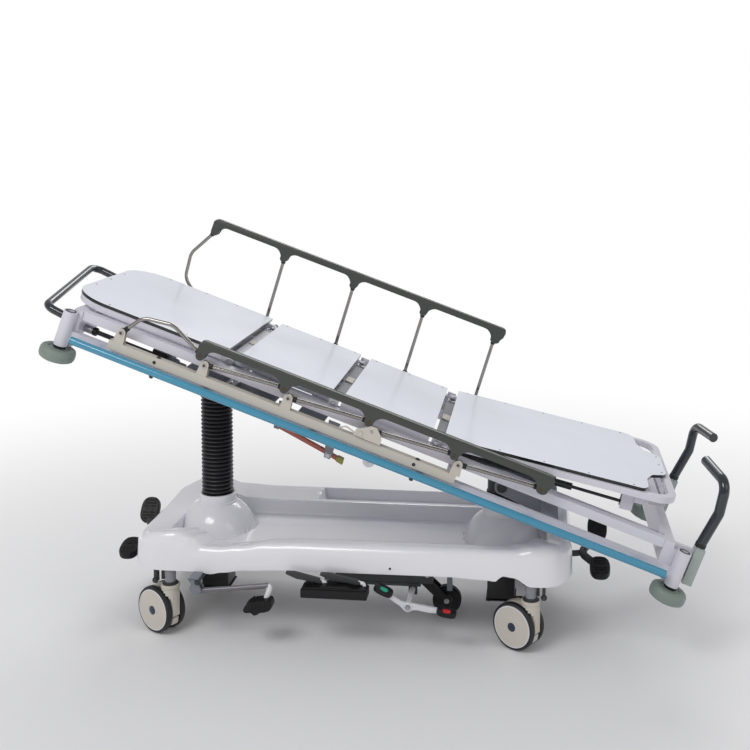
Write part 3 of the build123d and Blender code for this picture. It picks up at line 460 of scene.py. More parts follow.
def cover_mesh():
    """The cover as sections: up its outer face, over the rim, down the basin and across the floor."""
    x0, y0 = COVER_LOW.x, COVER_LOW.y
    x1, y1 = COVER_HIGH.x, COVER_HIGH.y
    outer = rounded_loop(x0, x1, y0, y1, 112)
    basin = rounded_loop(x0 + 98, x1 - 76, y0 + 72, 146, 84)
    floor = rounded_loop(x0 + 118, x1 - 96, y0 + 92, 128, 68)
    outward = [(o - b).normalized() for o, b in zip(outer, basin)]
    lows = [through(EDGE_LOW, o.x) for o in outer]
    rims = [rim_height(o.x, o.y) for o in outer]
    loops = []

    def inside_edge(distance, height):
        """A section at a distance inside the outer edge. Its height comes from the low edge and the rim."""
        loops.append([(*(o - n * distance), height(low, rim))
                      for o, n, low, rim in zip(outer, outward, lows, rims)])

    def between(start, end, share, height):
        """A section part of the way from one loop to another, with the domes and the pocket in it."""
        places = [a.lerp(b, share) for a, b in zip(start, end)]
        loops.append([(p.x, p.y, raised(p.x, p.y, height(rim))) for p, rim in zip(places, rims)])

    shoulder_w, shoulder_h = 30.0, 34.0
    inside_edge(5, lambda low, rim: low + 1)
    inside_edge(1, lambda low, rim: low)
    for t in (0.06, 0.35, 0.7, 1.0):
        inside_edge(0.5 + 3.5 * t, lambda low, rim: low + t * (rim - shoulder_h - low))
    for k in range(1, 9):
        a = pi / 2 * k / 8
        inside_edge(4 + shoulder_w * (1 - cos(a)), lambda low, rim: rim - shoulder_h * (1 - sin(a)))
    shelf_start = [o - n * (4 + shoulder_w) for o, n in zip(outer, outward)]
    for k in range(1, 15):
        t = k / 14
        between(shelf_start, basin, t, lambda rim: rim - 5 * t ** 2)
    for k in range(1, 6):
        a = pi / 2 * k / 5
        between(basin, floor, 0.3 * sin(a), lambda rim: rim - 5 - 8 * (1 - cos(a)))
    for t in (0.25, 0.5, 0.75, 1.0):
        between(basin, floor, 0.3 + 0.3 * t, lambda rim: rim - 13 + (FLOOR_Z + 9 - rim + 13) * t)
    for k in range(1, 6):
        a = pi / 2 * k / 5
        between(basin, floor, 0.6 + 0.4 * (1 - cos(a)), lambda rim: FLOOR_Z + 9 * (1 - sin(a)))
    middle_y, half = (128 + floor[0].y) / 2, (128 - floor[0].y) / 2
    spine = [Vector((min(max(p.x, x0 + 118 + half), x1 - 96 - half), middle_y)) for p in floor]
    for k in range(1, 36):
        between(floor, spine, k / 35, lambda rim: FLOOR_Z)
    return without_faces(*loft(loops), in_column_hole)


COLUMN_HOLE_R = 46.0


def in_column_hole(centre):
    """True over a lifting column, where the cover is open under its collar."""
    return any((centre - Vector((x, 0, centre.z))).length < COLUMN_HOLE_R for x in (FOOT_X, HEAD_X))


def without_faces(vertices, faces, test):
    """The mesh less the faces whose centre passes the test, and less the vertices that only they used."""
    kept = [face for face in faces if not test(sum((Vector(vertices[i]) for i in face),
                                                   Vector()) / len(face))]
    used = sorted({i for face in kept for i in face})
    place = {old: new for new, old in enumerate(used)}
    return [vertices[i] for i in used], [[place[i] for i in face] for face in kept]


cover = make("cover_shell", cover_mesh(), "cover_plastic", "chassis", replaces="base_cover")
thickness = cover.modifiers.new("thickness", "SOLIDIFY")
thickness.thickness = 0.004
thickness.offset = -1
cover.modifiers.move(1, 0)

COLLAR = [(53, 320), (63, 320), (65, 338), (64, 343), (61.8, 344.5), (61.8, 348), (61.2, 366), (59.5, 370.5),
          (56, 371), (53, 369), (53, 320)]
for end, x in (("foot", FOOT_X), ("head", HEAD_X)):
    make(f"collar_{end}", moved(lathe(COLLAR, 72), Matrix.Translation((x, 0, 0))), "cover_plastic",
         "chassis")


# ---------------------------------------------------------------- column sleeves
def sleeve(end, x):
    """A ribbed rubber sleeve from the cover up to the ram, fixed in place of the CAD bellows."""
    low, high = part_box(f"{end}_bellows")
    z0, z1 = low.z / MM, high.z / MM
    ribs, steps = 29, 12
    profile = [(42, z0 + 1), (50, z0 + 1)]
    for k in range(ribs * steps + 1):
        wave = 0.5 - 0.5 * cos(2 * pi * k / steps)
        profile.append((42.5 + 10.8 * wave ** 0.55, z0 + 3 + (z1 - z0 - 6) * k / (ribs * steps)))
    profile += [(49, z1 - 1), (42, z1 - 1)]
    piece = make(f"sleeve_{end}", moved(lathe(profile, 64), Matrix.Translation((x, 0, 0))), "bellows_rubber",
                 None, replaces=f"{end}_bellows")
    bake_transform(piece)


sleeve("foot", FOOT_X)
sleeve("head", HEAD_X)


# ---------------------------------------------------------------- small fixings
def keyhole(radius, neck, wheel_edge, level, steps=48):
    """The castor housing's section: round, but narrowed to the neck where the wheels tuck in."""
    loop = []
    for i in range(steps):
        x, y = radius * cos(2 * pi * i / steps), radius * sin(2 * pi * i / steps)
        if x > wheel_edge and abs(y) > neck:
            y = neck if y > 0 else -neck
        loop.append((x, y, level))
    return loop


def ring_between(name, inner, outer, low, high, centre, material, body, matrix, turn="X"):
    """A short sleeve round an axis along local y (or z), with rounded rims."""
    section = [(inner, low), (outer - 1, low), (outer, low + 1), (outer, high - 1), (outer - 1, high),
               (inner, high)]
    piece = lathe(section + [section[0]], 28)
    place = Matrix.Translation(centre) @ (Matrix.Rotation(-pi / 2, 4, "X")
                                          if turn == "X" else Matrix.Identity(4))
    return make(name, moved(piece, place), material, body, matrix)


def screw_head(centre, radius, height, matrix=None):
    """A low domed screw head on a face whose outward side is local z."""
    section = [(0, 0), (radius, 0), (radius, height * 0.4), (radius * 0.85, height * 0.85),
               (radius * 0.42, height), (radius * 0.36, height * 0.45), (0, height * 0.45)]
    place = Matrix.Translation(centre) @ (matrix or Matrix.Identity(4))
    return moved(lathe(section, 20), place)


def hexagon_bolt(centre, radius, height, matrix=None):
    head = [(radius * cos(pi / 3 * k), radius * sin(pi / 3 * k)) for k in range(6)]
    small = [(x * 0.88, y * 0.88) for x, y in head]
    loops = [[(x, y, 0) for x, y in head], [(x, y, height * 0.8) for x, y in head],
             [(x, y, height) for x, y in small]]
    washer = lathe([(0, -1.2), (radius * 1.25, -1.2), (radius * 1.25, 0.2), (0, 0.2)], 28)
    place = Matrix.Translation(centre) @ (matrix or Matrix.Identity(4))
    return moved(joined(loft(loops, cap_start=True, cap_end=True), washer), place)


TO_NEAR = Matrix.Rotation(pi / 2, 4, "X")
TO_FAR = Matrix.Rotation(-pi / 2, 4, "X")
TO_HEAD = Matrix.Rotation(pi / 2, 4, "Y")
DOWN = Matrix.Rotation(pi, 4, "X")
SIDES = (("near", -1, TO_NEAR), ("far", 1, TO_FAR))


# ---------------------------------------------------------------- castors
AXLE = Matrix.Rotation(pi / 2, 4, "X")
WHEEL_R = 75.0


def castor(name):
    """Twin wheels with moulded discs either side of a hooded body."""
    swivel = Vector(JOINTS[f"swivel_{name}"]["pos_m"]) / MM
    axle = Vector(JOINTS[f"roll_{name}"]["pos_m"]) / MM
    away = Vector((axle.x - swivel.x, axle.y - swivel.y, 0))
    trail = away.length
    away.normalize()
    across = Vector((-away.y, away.x, 0))
    local = frame_matrix(Vector((swivel.x, swivel.y, 0)) * MM, away, across, Vector((0, 0, 1)))
    hub = Matrix.Translation((trail, 0, WHEEL_R)) @ AXLE
    tyre, disc, cap, rim = [], [], [], []
    for sign in (-1, 1):
        flip = Matrix.Scale(sign, 4, Vector((0, 0, 1)))
        section = [(58, 16), (68, 16), (72.5, 17.5), (75, 21), (75, 30), (73, 34.5), (69, 37), (66.5, 37),
                   (65.5, 35.5), (58, 35.5)]
        tyre.append(moved(lathe(section, 72), hub @ flip))
        plate = [(12, 16), (60, 16), (66, 17), (66, 35), (64.5, 36.6), (63, 36.2), (62, 36.9), (40, 37.8),
                 (15, 38.2), (13, 38.2), (12.5, 37.4), (12, 37.2)]
        disc.append(moved(lathe(plate, 72), hub @ flip))
        cap.append(moved(lathe([(0, 37), (14, 37), (14, 39), (12, 40.2), (4, 40.8), (0, 40.4)], 32),
                         hub @ flip))
        rim.append(moved(lathe([(62, 37.1), (63, 37.7), (65.2, 37.4), (66, 36.2)], 72), hub @ flip))
    body = f"wheels_{name}"
    make(f"tyres_{name}", joined(*tyre), "tyre_grey", body, local, replaces=f"castor_wheels_{name}")
    make(f"discs_{name}", joined(*disc), "hub_plastic", body, local)
    make(f"hub_caps_{name}", joined(*cap), "cap_blue", body, local)
    make(f"disc_rims_{name}", joined(*rim), "knob_white", body, local)
    upper = [(-27, 62), (-10, 58), (20, 58), (70, 62), (96, 96), (98, 118), (84, 138), (56, 150), (20, 152),
             (-20, 152), (-27, 140)]
    lower = [(-24, 57), (-20, 36), (-14, 30), (6, 28), (22, 34), (40, 56)]
    make(f"hood_{name}", joined(slab(upper, -14.5, 14.5, axis="y"), slab(lower, -12.5, 12.5, axis="y")),
         "castor_plastic", f"castor_{name}", local, bevel=3, replaces=f"castor_fork_{name}")
    loops = []
    for level in (84, 92, 100, 108, 116, 124, 132, 140, 146, 148.5):
        edge = trail - sqrt((WHEEL_R + 1.5) ** 2 - (level - WHEEL_R) ** 2) - 1
        loops.append(keyhole(28.5, 14.6, edge, level))
    for radius, level in ((28.5, 149), (27.6, 149.6), (27.6, 150.6), (28.5, 151.2), (28.5, 155), (30.2, 156),
                          (30.2, 162), (28, 164)):
        loops.append(keyhole(radius, 99, 99, level))
    make(f"housing_{name}", loft(loops, cap_start=True, cap_end=True), "castor_plastic", f"castor_{name}",
         local)
    collar = lathe([(16, 163), (25, 163), (25, 166), (21, 168), (20, 172), (17, 172)], 40)
    make(f"stem_collar_{name}", collar, "chassis_paint", f"castor_{name}", local)
    stem = lathe([(17.2, 160), (17.2, 192), (18.4, 193), (18.4, 213), (16.4, 214)], 40)
    make(f"stem_{name}", stem, "stem_paint", f"castor_{name}", local)


for castor_name in ("near_foot", "near_head", "far_foot", "far_head"):
    castor(castor_name)

# ---------------------------------------------------------------- under the cover
def at_joint(name, matrix=WORLD):
    """A joint's place in a local frame, in millimetres."""
    return matrix.inverted() @ Vector(JOINTS[name]["pos_m"])


def square_tube(x, outer, inner, z0, z1):
    """A square tube standing on end round a lifting column."""
    def square(half, z):
        return [(x - half, -half, z), (x + half, -half, z), (x + half, half, z), (x - half, half, z)]

    return loft([square(inner, z0), square(outer, z0), square(outer, z1), square(inner, z1),
                 square(inner, z0)])


boxes, plates = [], []
for x in (FOOT_X, HEAD_X):
    boxes.append(square_tube(x, 46, 39, 52, 212))
    plates.append(box(x - 50, x + 50, -50, 50, 46.5, 50.5))
    plates.append(square_tube(x, 50, 45, 128, 134))
    for dx in (-40, 40):
        plates.append(hexagon_bolt((x + dx, -40, 47.5), 6, 5, DOWN))
make("lift_housings", joined(*boxes), "cylinder_paint", "chassis", bevel=4)
make("lift_plates", joined(*plates), "chassis_paint", "chassis", bevel=1)
make("side_beam", joined(box(-156, 188, -216, -184, 168, 222), box(-60, 150, -218, -182, 158, 170),
                         box(150, 300, -212, -190, 206, 222), box(120, 140, -198, -120, 190, 214)),
     "chassis_paint", "chassis", bevel=2.5)
make("wheel_guard", joined(box(224, 242, -98, -90, 96, 160), box(216, 250, -98, -60, 158, 166),
                           box(226, 240, -94, -74, 160, 214)), "bracket_paint", "chassis", bevel=1.5)
beam_bolts = [hexagon_bolt((x, -216, z), 6, 4, TO_NEAR)
              for x, z in ((-130, 196), (-40, 200), (60, 204), (170, 196))]
make("beam_bolts", joined(*beam_bolts), "bolt_steel", "chassis")
make("cover_drain", moved(lathe([(0, 0), (4, 0), (3.4, 1.2), (0, 1.6)], 20),
                          Matrix.Translation((63, -308.4, 252)) @ TO_NEAR), "chassis_paint", "chassis")
brackets = []
for castor_name, dx in (("near_foot", -44), ("near_head", 40), ("far_foot", -44), ("far_head", 40)):
    place = at_joint(f"swivel_{castor_name}")
    out = 1 if dx > 0 else -1
    y = place.y
    brackets.append(box(place.x + dx - 5, place.x + dx + 5, y - 16, y - 10, 168, 214))
    brackets.append(box(place.x + dx - 5, place.x + dx + 5, y + 4, y + 10, 168, 214))
    brackets.append(box(place.x + dx * 0.55 - 5, place.x + dx * 0.55 + 5, y - 2, y + 26, 176, 214))
    brackets.append(hexagon_bolt((place.x + dx, y - 16, 178), 8, 7, TO_NEAR))
make("brake_links", joined(*brackets), "chassis_paint", "chassis", bevel=1.5)

# ---------------------------------------------------------------- pedals
def ribs_on(points, radius=2.0):
    return joined(*[tube(line, radius, bend=6, sides=8) for line in points])


def corners_cut(outline, rounds=2):
    """A closed outline with its corners cut, and cut again, until it is round."""
    for _ in range(rounds):
        pairs = list(zip(outline, outline[1:] + outline[:1]))
        outline = [(a * p[0] + b * q[0], a * p[1] + b * q[1]) for p, q in pairs
                   for a, b in ((0.78, 0.22), (0.22, 0.78))]
    return outline


pump_pad = corners_cut([(-386, 126), (-380, 142), (-364, 157), (-300, 165), (-293, 148), (-298, 132),
                        (-316, 125), (-332, 123), (-342, 114), (-352, 114), (-360, 122), (-376, 120)])
make("pump_pad", slab(pump_pad, -384, -336, axis="y"), "pedal_paint", "pump_pedal", bevel=5,
     replaces="pump_pedal")
lines = [[(-364 + 10 * k, -384.2, 130), (-356 + 10 * k, -385, 144),
          (-358 + 10 * k, -381.5, 156.5 + 0.7 * k)] for k in range(6)]
lines += [[(-360 + 10 * k, -383, 156.5 + 0.9 * k), (-358 + 10 * k, -340, 157.5 + 0.9 * k)] for k in range(6)]
make("pump_pad_ribs", ribs_on(lines, 2.2), "pedal_paint", "pump_pedal")
make("pump_tube", tube([(-536, -345, 201), (-556, -346, 168), (-430, -346, 182), (-312, -346, 197)], 8.6,
                       bend=22), "grey_rod", "pump_pedal")
make("pump_tube_end", tube([(-330, -346, 194.8), (-305, -346, 197), (-318, -352, 158)], 8.4, bend=14),
     "knob_white", "pump_pedal")
fork_plate = [(-566, 214), (-532, 214), (-530, 196), (-521, 176), (-530, 166), (-552, 164), (-560, 180),
              (-556, 196)]
make("pump_bracket", joined(slab(fork_plate, -336, -329, axis="y"), slab(fork_plate, -362, -355, axis="y"),
                            box(-562, -532, -362, -220, 208, 216)), "bracket_paint", "chassis", bevel=2)
press = at_joint("pump_press")
make("pump_bolt", hexagon_bolt((press.x, -362.5, press.z), 7, 4, TO_NEAR), "chassis_paint", "chassis")

pad = joined(box(-206, 0, -374, -316, 174, 202), box(-202, -4, -371, -319, 200, 207))
make("lift_pad", pad, "pedal_paint", "lift_pedal", bevel=5, replaces="lift_pedal")
crest = [(-150, 204), (-140, 212), (-128, 214), (-66, 214), (-56, 211), (-46, 204)]
make("lift_pad_crest", slab(crest, -369, -321, axis="y"), "pedal_paint", "lift_pedal", bevel=3)
lines = [[(-124 + 8 * k, -366, 214.2), (-124 + 8 * k, -324, 214.2)] for k in range(8)]
lines += [[(-196 + 6 * k, -368, 207.4), (-196 + 6 * k, -322, 207.4)] for k in range(6)]
lines += [[(-40 + 6 * k, -368, 207.4), (-40 + 6 * k, -322, 207.4)] for k in range(6)]
make("lift_pad_ribs", ribs_on(lines, 1.4), "pedal_paint", "lift_pedal")
arms = []
for x0, x1 in ((-258, -158), (-150, -38)):
    profile = [(x0, 243), (x0 + 26, 243), (x1, 226), (x1 + 14, 219), (x1 + 14, 210), (x0 + 34, 222),
               (x0, 236)]
    arms.append(slab(profile, -346, -330, axis="y"))
make("lift_arms", joined(*arms), "chassis_paint", "lift_pedal", bevel=2)
elbows = [tube([(x - 6, -338, 217), (x + 12, -338, 213), (x + 14, -340, 204)], 6, bend=8, sides=14)
          for x in (-146, -26)]
make("lift_elbows", joined(*elbows), "knob_white", "lift_pedal")

arm = [(30, 199), (46, 208), (58, 200), (84, 178), (104, 165), (122, 163), (140, 160), (180, 153),
       (228, 146), (228, 132), (186, 134), (150, 140), (136, 138), (124, 133), (110, 139), (98, 152),
       (72, 168), (46, 188)]
make("rocker_arm", slab(arm, -348, -334, axis="y"), "rocker_plastic", "steer_rocker", bevel=3,
     replaces="steer_rocker")
make("rocker_shaft", tube([(124, -336, 150), (124, -216, 150)], 8.5, bend=0), "rocker_plastic",
     "steer_rocker")
make("rocker_hub", lathe([(0, 0), (15, 0), (15, 16), (13, 18), (0, 18)], 32), "rocker_plastic",
     "steer_rocker", WORLD @ Matrix.Translation((124, -333, 149)) @ TO_NEAR)
make("rocker_bolt", hexagon_bolt((124, -351.5, 149), 7.5, 5, TO_NEAR), "bolt_steel", "steer_rocker")


def oval(width, length, thick, round_off=4.0, steps=40):
    """A flat oval pad, rounded all round, its length along x."""
    loops = []
    levels = [(-thick / 2, round_off), (-thick / 2 + round_off * 0.3, round_off * 0.3),
              (-thick / 2 + round_off, 0), (thick / 2 - round_off, 0),
              (thick / 2 - round_off * 0.3, round_off * 0.3), (thick / 2, round_off)]
    for level, inset in levels:
        loop = []
        for i in range(steps):
            c, q = cos(2 * pi * i / steps), sin(2 * pi * i / steps)
            loop.append(((length / 2 - inset) * abs(c) ** 0.75 * (1 if c > 0 else -1),
                         (width / 2 - inset) * abs(q) ** 0.75 * (1 if q > 0 else -1), level))
        loops.append(loop)
    return loft(loops, cap_start=True, cap_end=True)


for side_name, x, z, turn, colour in (("green", 48, 198, 24, "oval_green"),
                                      ("red", 243, 137, 10, "oval_red")):
    place = WORLD @ Matrix.Translation((x, -344, z)) @ Matrix.Rotation(radians(turn), 4, "Y")
    make(f"rocker_pad_{side_name}", oval(44, 62, 21, 6), "pedal_paint", "steer_rocker", place)
    make(f"rocker_oval_{side_name}", oval(15, 26, 3, 1.2), colour, "steer_rocker",
         place @ Matrix.Translation((0, -14, 9.6)) @ Matrix.Rotation(radians(18), 4, "X"))

pads, pad_ribs, necks = [], [], []
for x, inner in ((-850, -668), (722, 540)):
    for y, z, tilt in ((96, 258, 52), (-96, 196, 17)):
        place = Matrix.Translation((x, y, z)) @ Matrix.Rotation(radians(tilt), 4,
                                                                "X") @ Matrix.Rotation(pi / 2, 4, "Z")
        pads.append(moved(oval(66, 92, 26, 6), place))
        ribs = [tube([(-33 + 11 * k, -20, 13), (-33 + 11 * k, 20, 13)], 2.2, bend=0, sides=8)
                for k in range(7) if k != 3]
        ribs.append(lathe([(9, 12), (12, 12), (12, 15), (9, 15), (9, 12)], 24))
        pad_ribs.append(moved(joined(*ribs), place))
    root = 0.45 * x + 0.55 * (-780 if x < 0 else 631)
    necks.append(tube([(x, -76, 190), (root, -18, 206), (root, 18, 210), (x, 80, 236)], 13, bend=34))
    necks.append(tube([(root, 0, 208), (0.8 * root + 0.2 * inner, 0, 204), (inner, 0, 196)], 10, bend=20))
    necks.append(tube([(inner, 0, 196), (inner, 8, 178), (inner, 62, 176)], 8, bend=8))
necks.append(tube([(-668, 62, 176), (540, 62, 176)], 7, bend=0))
make("brake_pads", joined(*pads), "pedal_paint", "brake_pedals", replaces="brake_pedals")
make("brake_pad_ribs", joined(*pad_ribs), "pedal_paint", "brake_pedals")
make("brake_necks", joined(*necks), "chassis_paint", "brake_pedals")

# ---------------------------------------------------------------- fifth wheel
hub = at_joint("fifth_wheel_roll")
make("fifth_tyre", moved(lathe([(20, -9), (40, -13), (44, -15), (48, -10), (48, 10), (44, 15), (40, 13),
                                (20, 9)], 64), Matrix.Translation(hub) @ AXLE), "pedal_paint", "fifth_wheel",
     replaces="fifth_wheel")
make("fifth_hub", moved(lathe([(7, -14), (18, -14), (22, -9), (22, 9), (18, 14), (7, 14)], 40),
                        Matrix.Translation(hub) @ AXLE), "chassis_paint", "fifth_wheel")
make("fifth_bolts", joined(hexagon_bolt((hub.x, hub.y - 21, hub.z), 7, 5, TO_NEAR),
                           hexagon_bolt((hub.x, hub.y + 21, hub.z), 7, 5, TO_FAR)), "bolt_steel",
     "fifth_wheel_arm")

# ---------------------------------------------------------------- folding side rails
PITCH = (at_joint("near_post_2_fold", DECK) - at_joint("near_post_1_fold", DECK)).x
POST_LENGTH = 255.4


def rail_outline(kind):
    """The rail's side view: straight on top, a rounded lobe over each post below."""
    end = 4 * PITCH
    if kind == "bar":
        return [(-10, 27), (end + 28, 27), (end + 32, 36), (end + 22, 49), (-2, 49), (-12, 38)]
    points = []
    for k in range(5):
        middle = k * PITCH
        if k:
            points += [(middle - 13 - 34 * (1 - t), 4 + 23 * (1 - t ** 2.4) ** 0.9)
                       for t in (0, 0.2, 0.4, 0.6, 0.75, 0.88, 1)]
        tip = 18 if k == 4 else 14
        start, stop = (182, 358) if k not in (0, 4) else ((180, 340) if k == 0 else (200, 372))
        for i in range(13):
            a = radians(start + (stop - start) * i / 12)
            points.append((middle + (4 if k == 4 else 0) + tip * cos(a), tip * sin(a) * (14 / tip)))
        if k < 4:
            points += [(middle + 13 + 34 * t, 4 + 23 * (1 - (1 - t) ** 2.4) ** 0.9)
                       for t in (0.12, 0.25, 0.4, 0.6, 0.8, 1)]
    points += [(end + 30, 16), (end + 33, 34), (end + 30, 43), (end + 22, 50), (0, 50), (-9, 46), (-14, 38),
               (-14, 12)]
    return points


def rail_mesh():
    def layer(kind, levels):
        loops = []
        for y, drop in levels:
            loops.append([(px, y, pz - drop * ease((pz - 34) / 16)) for px, pz in rail_outline(kind)])
        return loft(loops, cap_start=True, cap_end=True)

    cheek = [(10, 1.6), (12.5, 3.4), (14.2, 6.5), (15, 11)]
    return joined(layer("cheek", cheek), layer("cheek", [(-y, drop) for y, drop in cheek]),
                  layer("bar", [(-10, 1.6), (-6, 0.5), (0, 0), (6, 0.5), (10, 1.6)]))


for side_name, sign, outward in SIDES:
    first = at_joint(f"{side_name}_post_1_fold", DECK)
    angle = radians(5.4 if side_name == "near" else 93.0)
    reach = Vector((POST_LENGTH * cos(angle), 0, POST_LENGTH * sin(angle)))
    local = DECK @ Matrix.Translation(first + reach)
    make(f"rail_{side_name}", rail_mesh(), "rail_top_plastic", f"{side_name}_top_rail", local,
         replaces=f"{side_name}_top_rail")
    pins = [screw_head((k * PITCH, sign * 15, 0), 5, 2, outward) for k in range(5)]
    make(f"rail_pins_{side_name}", joined(*pins), "pin_bronze", f"{side_name}_top_rail", local)
    ears, washers, fixings = [], [], []
    for k in range(5):
        body = f"{side_name}_post_{k + 1}"
        pivot = first + Vector((k * PITCH, 0, 0))
        ring_between(f"bush_{body}", 4.2, 12.8, -6.2, 6.2, pivot, "bush_black", body, DECK)
        if k == 0:
            start, finish = Vector((52, 0, 62)).normalized(), Vector((-105.4, 0, 66)).normalized()
        else:
            start, finish = Vector((1, 0, 0)), Vector((-1, 0, 0))
        turn = Matrix.Rotation(-angle, 4, "Y")
        start, finish = turn @ start, turn @ finish
        boots = joined(tube([pivot + start * 8, pivot + start * 24], 8.4, bend=0),
                       tube([pivot + reach + finish * 8, pivot + reach + finish * 20], 8.2, bend=0),
                       moved(lathe([(4.2, -6), (11.5, -6), (12, -5), (12, 5), (11.5, 6), (4.2, 6)], 28),
                             Matrix.Translation(pivot + reach) @ TO_NEAR))
        make(f"boots_{body}", boots, "bush_black", body, DECK)
        ears.append(screw_head(pivot + Vector((0, sign * 12, 0)), 5, 1.6, outward))
        washers.append(moved(lathe([(4.5, 0), (7.2, 0), (7.2, 1.0), (4.5, 1.0)], 24),
                             Matrix.Translation(pivot + Vector((0, sign * 12, 0))) @ outward))
    for d in (-423, 425):
        fixings.append(screw_head((d, sign * 373, -48), 5.5, 1.5, outward))
        fixings.append(screw_head((d + 6, sign * 362, -33), 7, 4.5))
        fixings.append(hexagon_bolt((d + 8, sign * 385, -87), 6.5, 6, DOWN))
    make(f"ear_rivets_{side_name}", joined(*ears), "pin_bronze", "deck", DECK)
    make(f"ear_rings_{side_name}", joined(*washers), "bolt_steel", "deck", DECK)
    make(f"rail_fixings_{side_name}", joined(*fixings), "spring_black", "deck", DECK)
    latch = [screw_head((d, sign * 381.8, n), 4.5, 2.5, outward) for d, n in ((242, -16), (272, 2))]
    make(f"latch_bolts_{side_name}", joined(*latch), "bolt_steel", f"{side_name}_latch", DECK)

# ---------------------------------------------------------------- deck fittings
for end_name in ("foot", "head"):
    for side_name, sign, outward in SIDES:
        wheel = f"bumper_wheel_{side_name}_{end_name}"
        centre = at_joint(f"bumper_roll_{side_name}_{end_name}", DECK)
        centre.z = -139
        roller = lathe([(9, -17), (26, -17), (30, -14), (34, -18), (46, -19), (52, -15.5), (55, -9),
                        (55.4, -0.8), (54.9, 0), (55.4, 0.8), (55, 9), (52, 15.5), (46, 19), (34, 18),
                        (30, 14.5), (24, 17), (9, 17)], 72)
        owner = JOINTS[f"bumper_roll_{side_name}_{end_name}"]["child"]
        make(f"roller_{side_name}_{end_name}", roller, "bumper_plastic", owner,
             DECK @ Matrix.Translation(centre), replaces=wheel)
        ring_between(f"roller_washer_{side_name}_{end_name}", 8, 20, -119.5, -112.5, (centre.x, centre.y, 0),
                     "bush_black", "deck", DECK, turn="Z")
        ring_between(f"post_insert_{side_name}_{end_name}", 12.1, 17.5, -6, 1.2, (centre.x, centre.y, 0),
                     "bush_black", "deck", DECK, turn="Z")
        make(f"roller_bolt_{side_name}_{end_name}", hexagon_bolt((centre.x, centre.y, -166), 8, 5, DOWN),
             "bolt_steel", "deck", DECK)

for side_name, sign, outward in SIDES:
    y0, y1 = sorted((sign * 302.8, sign * 341.0))
    centre = at_joint(f"handle_swing_{side_name}", DECK)
    make(f"handle_socket_{side_name}",
         joined(box(1301.3, 1331.8, y0, y1, -98, 19.5), box(1304, 1329, y0 + 2, y1 - 2, 19, 22)),
         "socket_grey", "deck", DECK, bevel=1.5)
    neck = lathe([(12.4, 21), (16.4, 22), (17, 24), (17, 33), (15.5, 37), (13, 40)], 32)
    make(f"handle_neck_{side_name}", neck, "bush_black", JOINTS[f"handle_swing_{side_name}"]["child"],
         DECK @ Matrix.Translation((centre.x, centre.y, 0)))


def back_board_outline():
    """The board's edge, with a curved cut-out for a hand at each head corner."""
    cut_out = [(487, 297, 0), (1112, 297, 0), (1127, 268, 0), (1130, 190, 0), (1152, 134, 0), (1192, 106, 0),
               (1203, 84, 0)]
    side = bent_path(cut_out, 24, steps=6)
    return [(p.x, p.y) for p in side] + [(p.x, -p.y) for p in reversed(side)]


make("back_board_panel", slab(back_board_outline(), 30, 40), "board_laminate", "back", BACK, bevel=0.5,
     replaces="back_board")


def edge_screws(places, top):
    return joined(*[screw_head((d, y, top - 0.2), 3.6, 1.0) for d, y in places])


leg_places = [(d, y) for d in (-640, -500, -380, -265) for y in (-284, 284)] + [(-757, y)
                                                                                for y in (-120, 0, 120)]
thigh_places = [(d, y) for d in (-180, -48, 86) for y in (-284, 284)]
seat_places = [(d, y) for d in (168, 296, 424) for y in (-284, 284)]
back_places = [(d, y) for d in (520, 660, 800, 940, 1080) for y in (-284, 284)] + [(1188, y)
                                                                                   for y in (-84, 0, 84)]
for board, body, places, top, matrix in (("leg", "leg", leg_places, 43, DECK),
                                         ("thigh", "thigh", thigh_places, 38, DECK),
                                         ("seat", "deck", seat_places, 37, DECK),
                                         ("back", "back", back_places, 40, BACK)):
    make(f"{board}_screws", edge_screws(places, top), "stem_paint", body, matrix)

for d, body in ((126.8, "deck"), (471.8, "deck"), (-222, "thigh")):
    straps, studs = [], []
    for sign in (-1, 1):
        y = sign * 226
        straps.append(box(d - 14, d + 14, min(y - 16, y + 16), max(y - 16, y + 16), 16, 19))
        straps.append(moved(lathe([(0, -12), (8, -12), (8, 12), (0, 12)], 24),
                            Matrix.Translation((d, sign * 246, 18)) @ TO_NEAR))
        studs.append(screw_head((d - 4, sign * 220, 19), 5.5, 2.5))
        studs.append(screw_head((d + 5, sign * 236, 19), 4.5, 2.5))
    make(f"hinge_straps_{int(d)}", joined(*straps), "bolt_steel", body, DECK, bevel=0.8)
    make(f"hinge_studs_{int(d)}", joined(*studs), "spring_black", body, DECK)
    make(f"hinge_block_{int(d)}", box(d - 14, d + 14, -28, 28, 15.5, 20.5), "castor_plastic", body, DECK,
         bevel=1.5)

frame_bolts = [hexagon_bolt((d, sign * 300, 16), 8, 6, turn) for d in (-222, 127, 465)
               for _, sign, turn in SIDES]
make("frame_bolts", joined(*frame_bolts), "bolt_steel", "deck", DECK)
make("round_knob", moved(lathe([(0, 0), (18, 0), (19.5, 1.5), (19.5, 9), (18, 11), (6, 11.5), (5, 9),
                                (0, 9)], 40), Matrix.Translation((290, -245, -132)) @ TO_NEAR), "knob_white",
     "deck", DECK)
make("knob_stem", tube([(290, -240, -132), (290, -240, -60)], 5, bend=0), "bolt_steel", "deck", DECK)

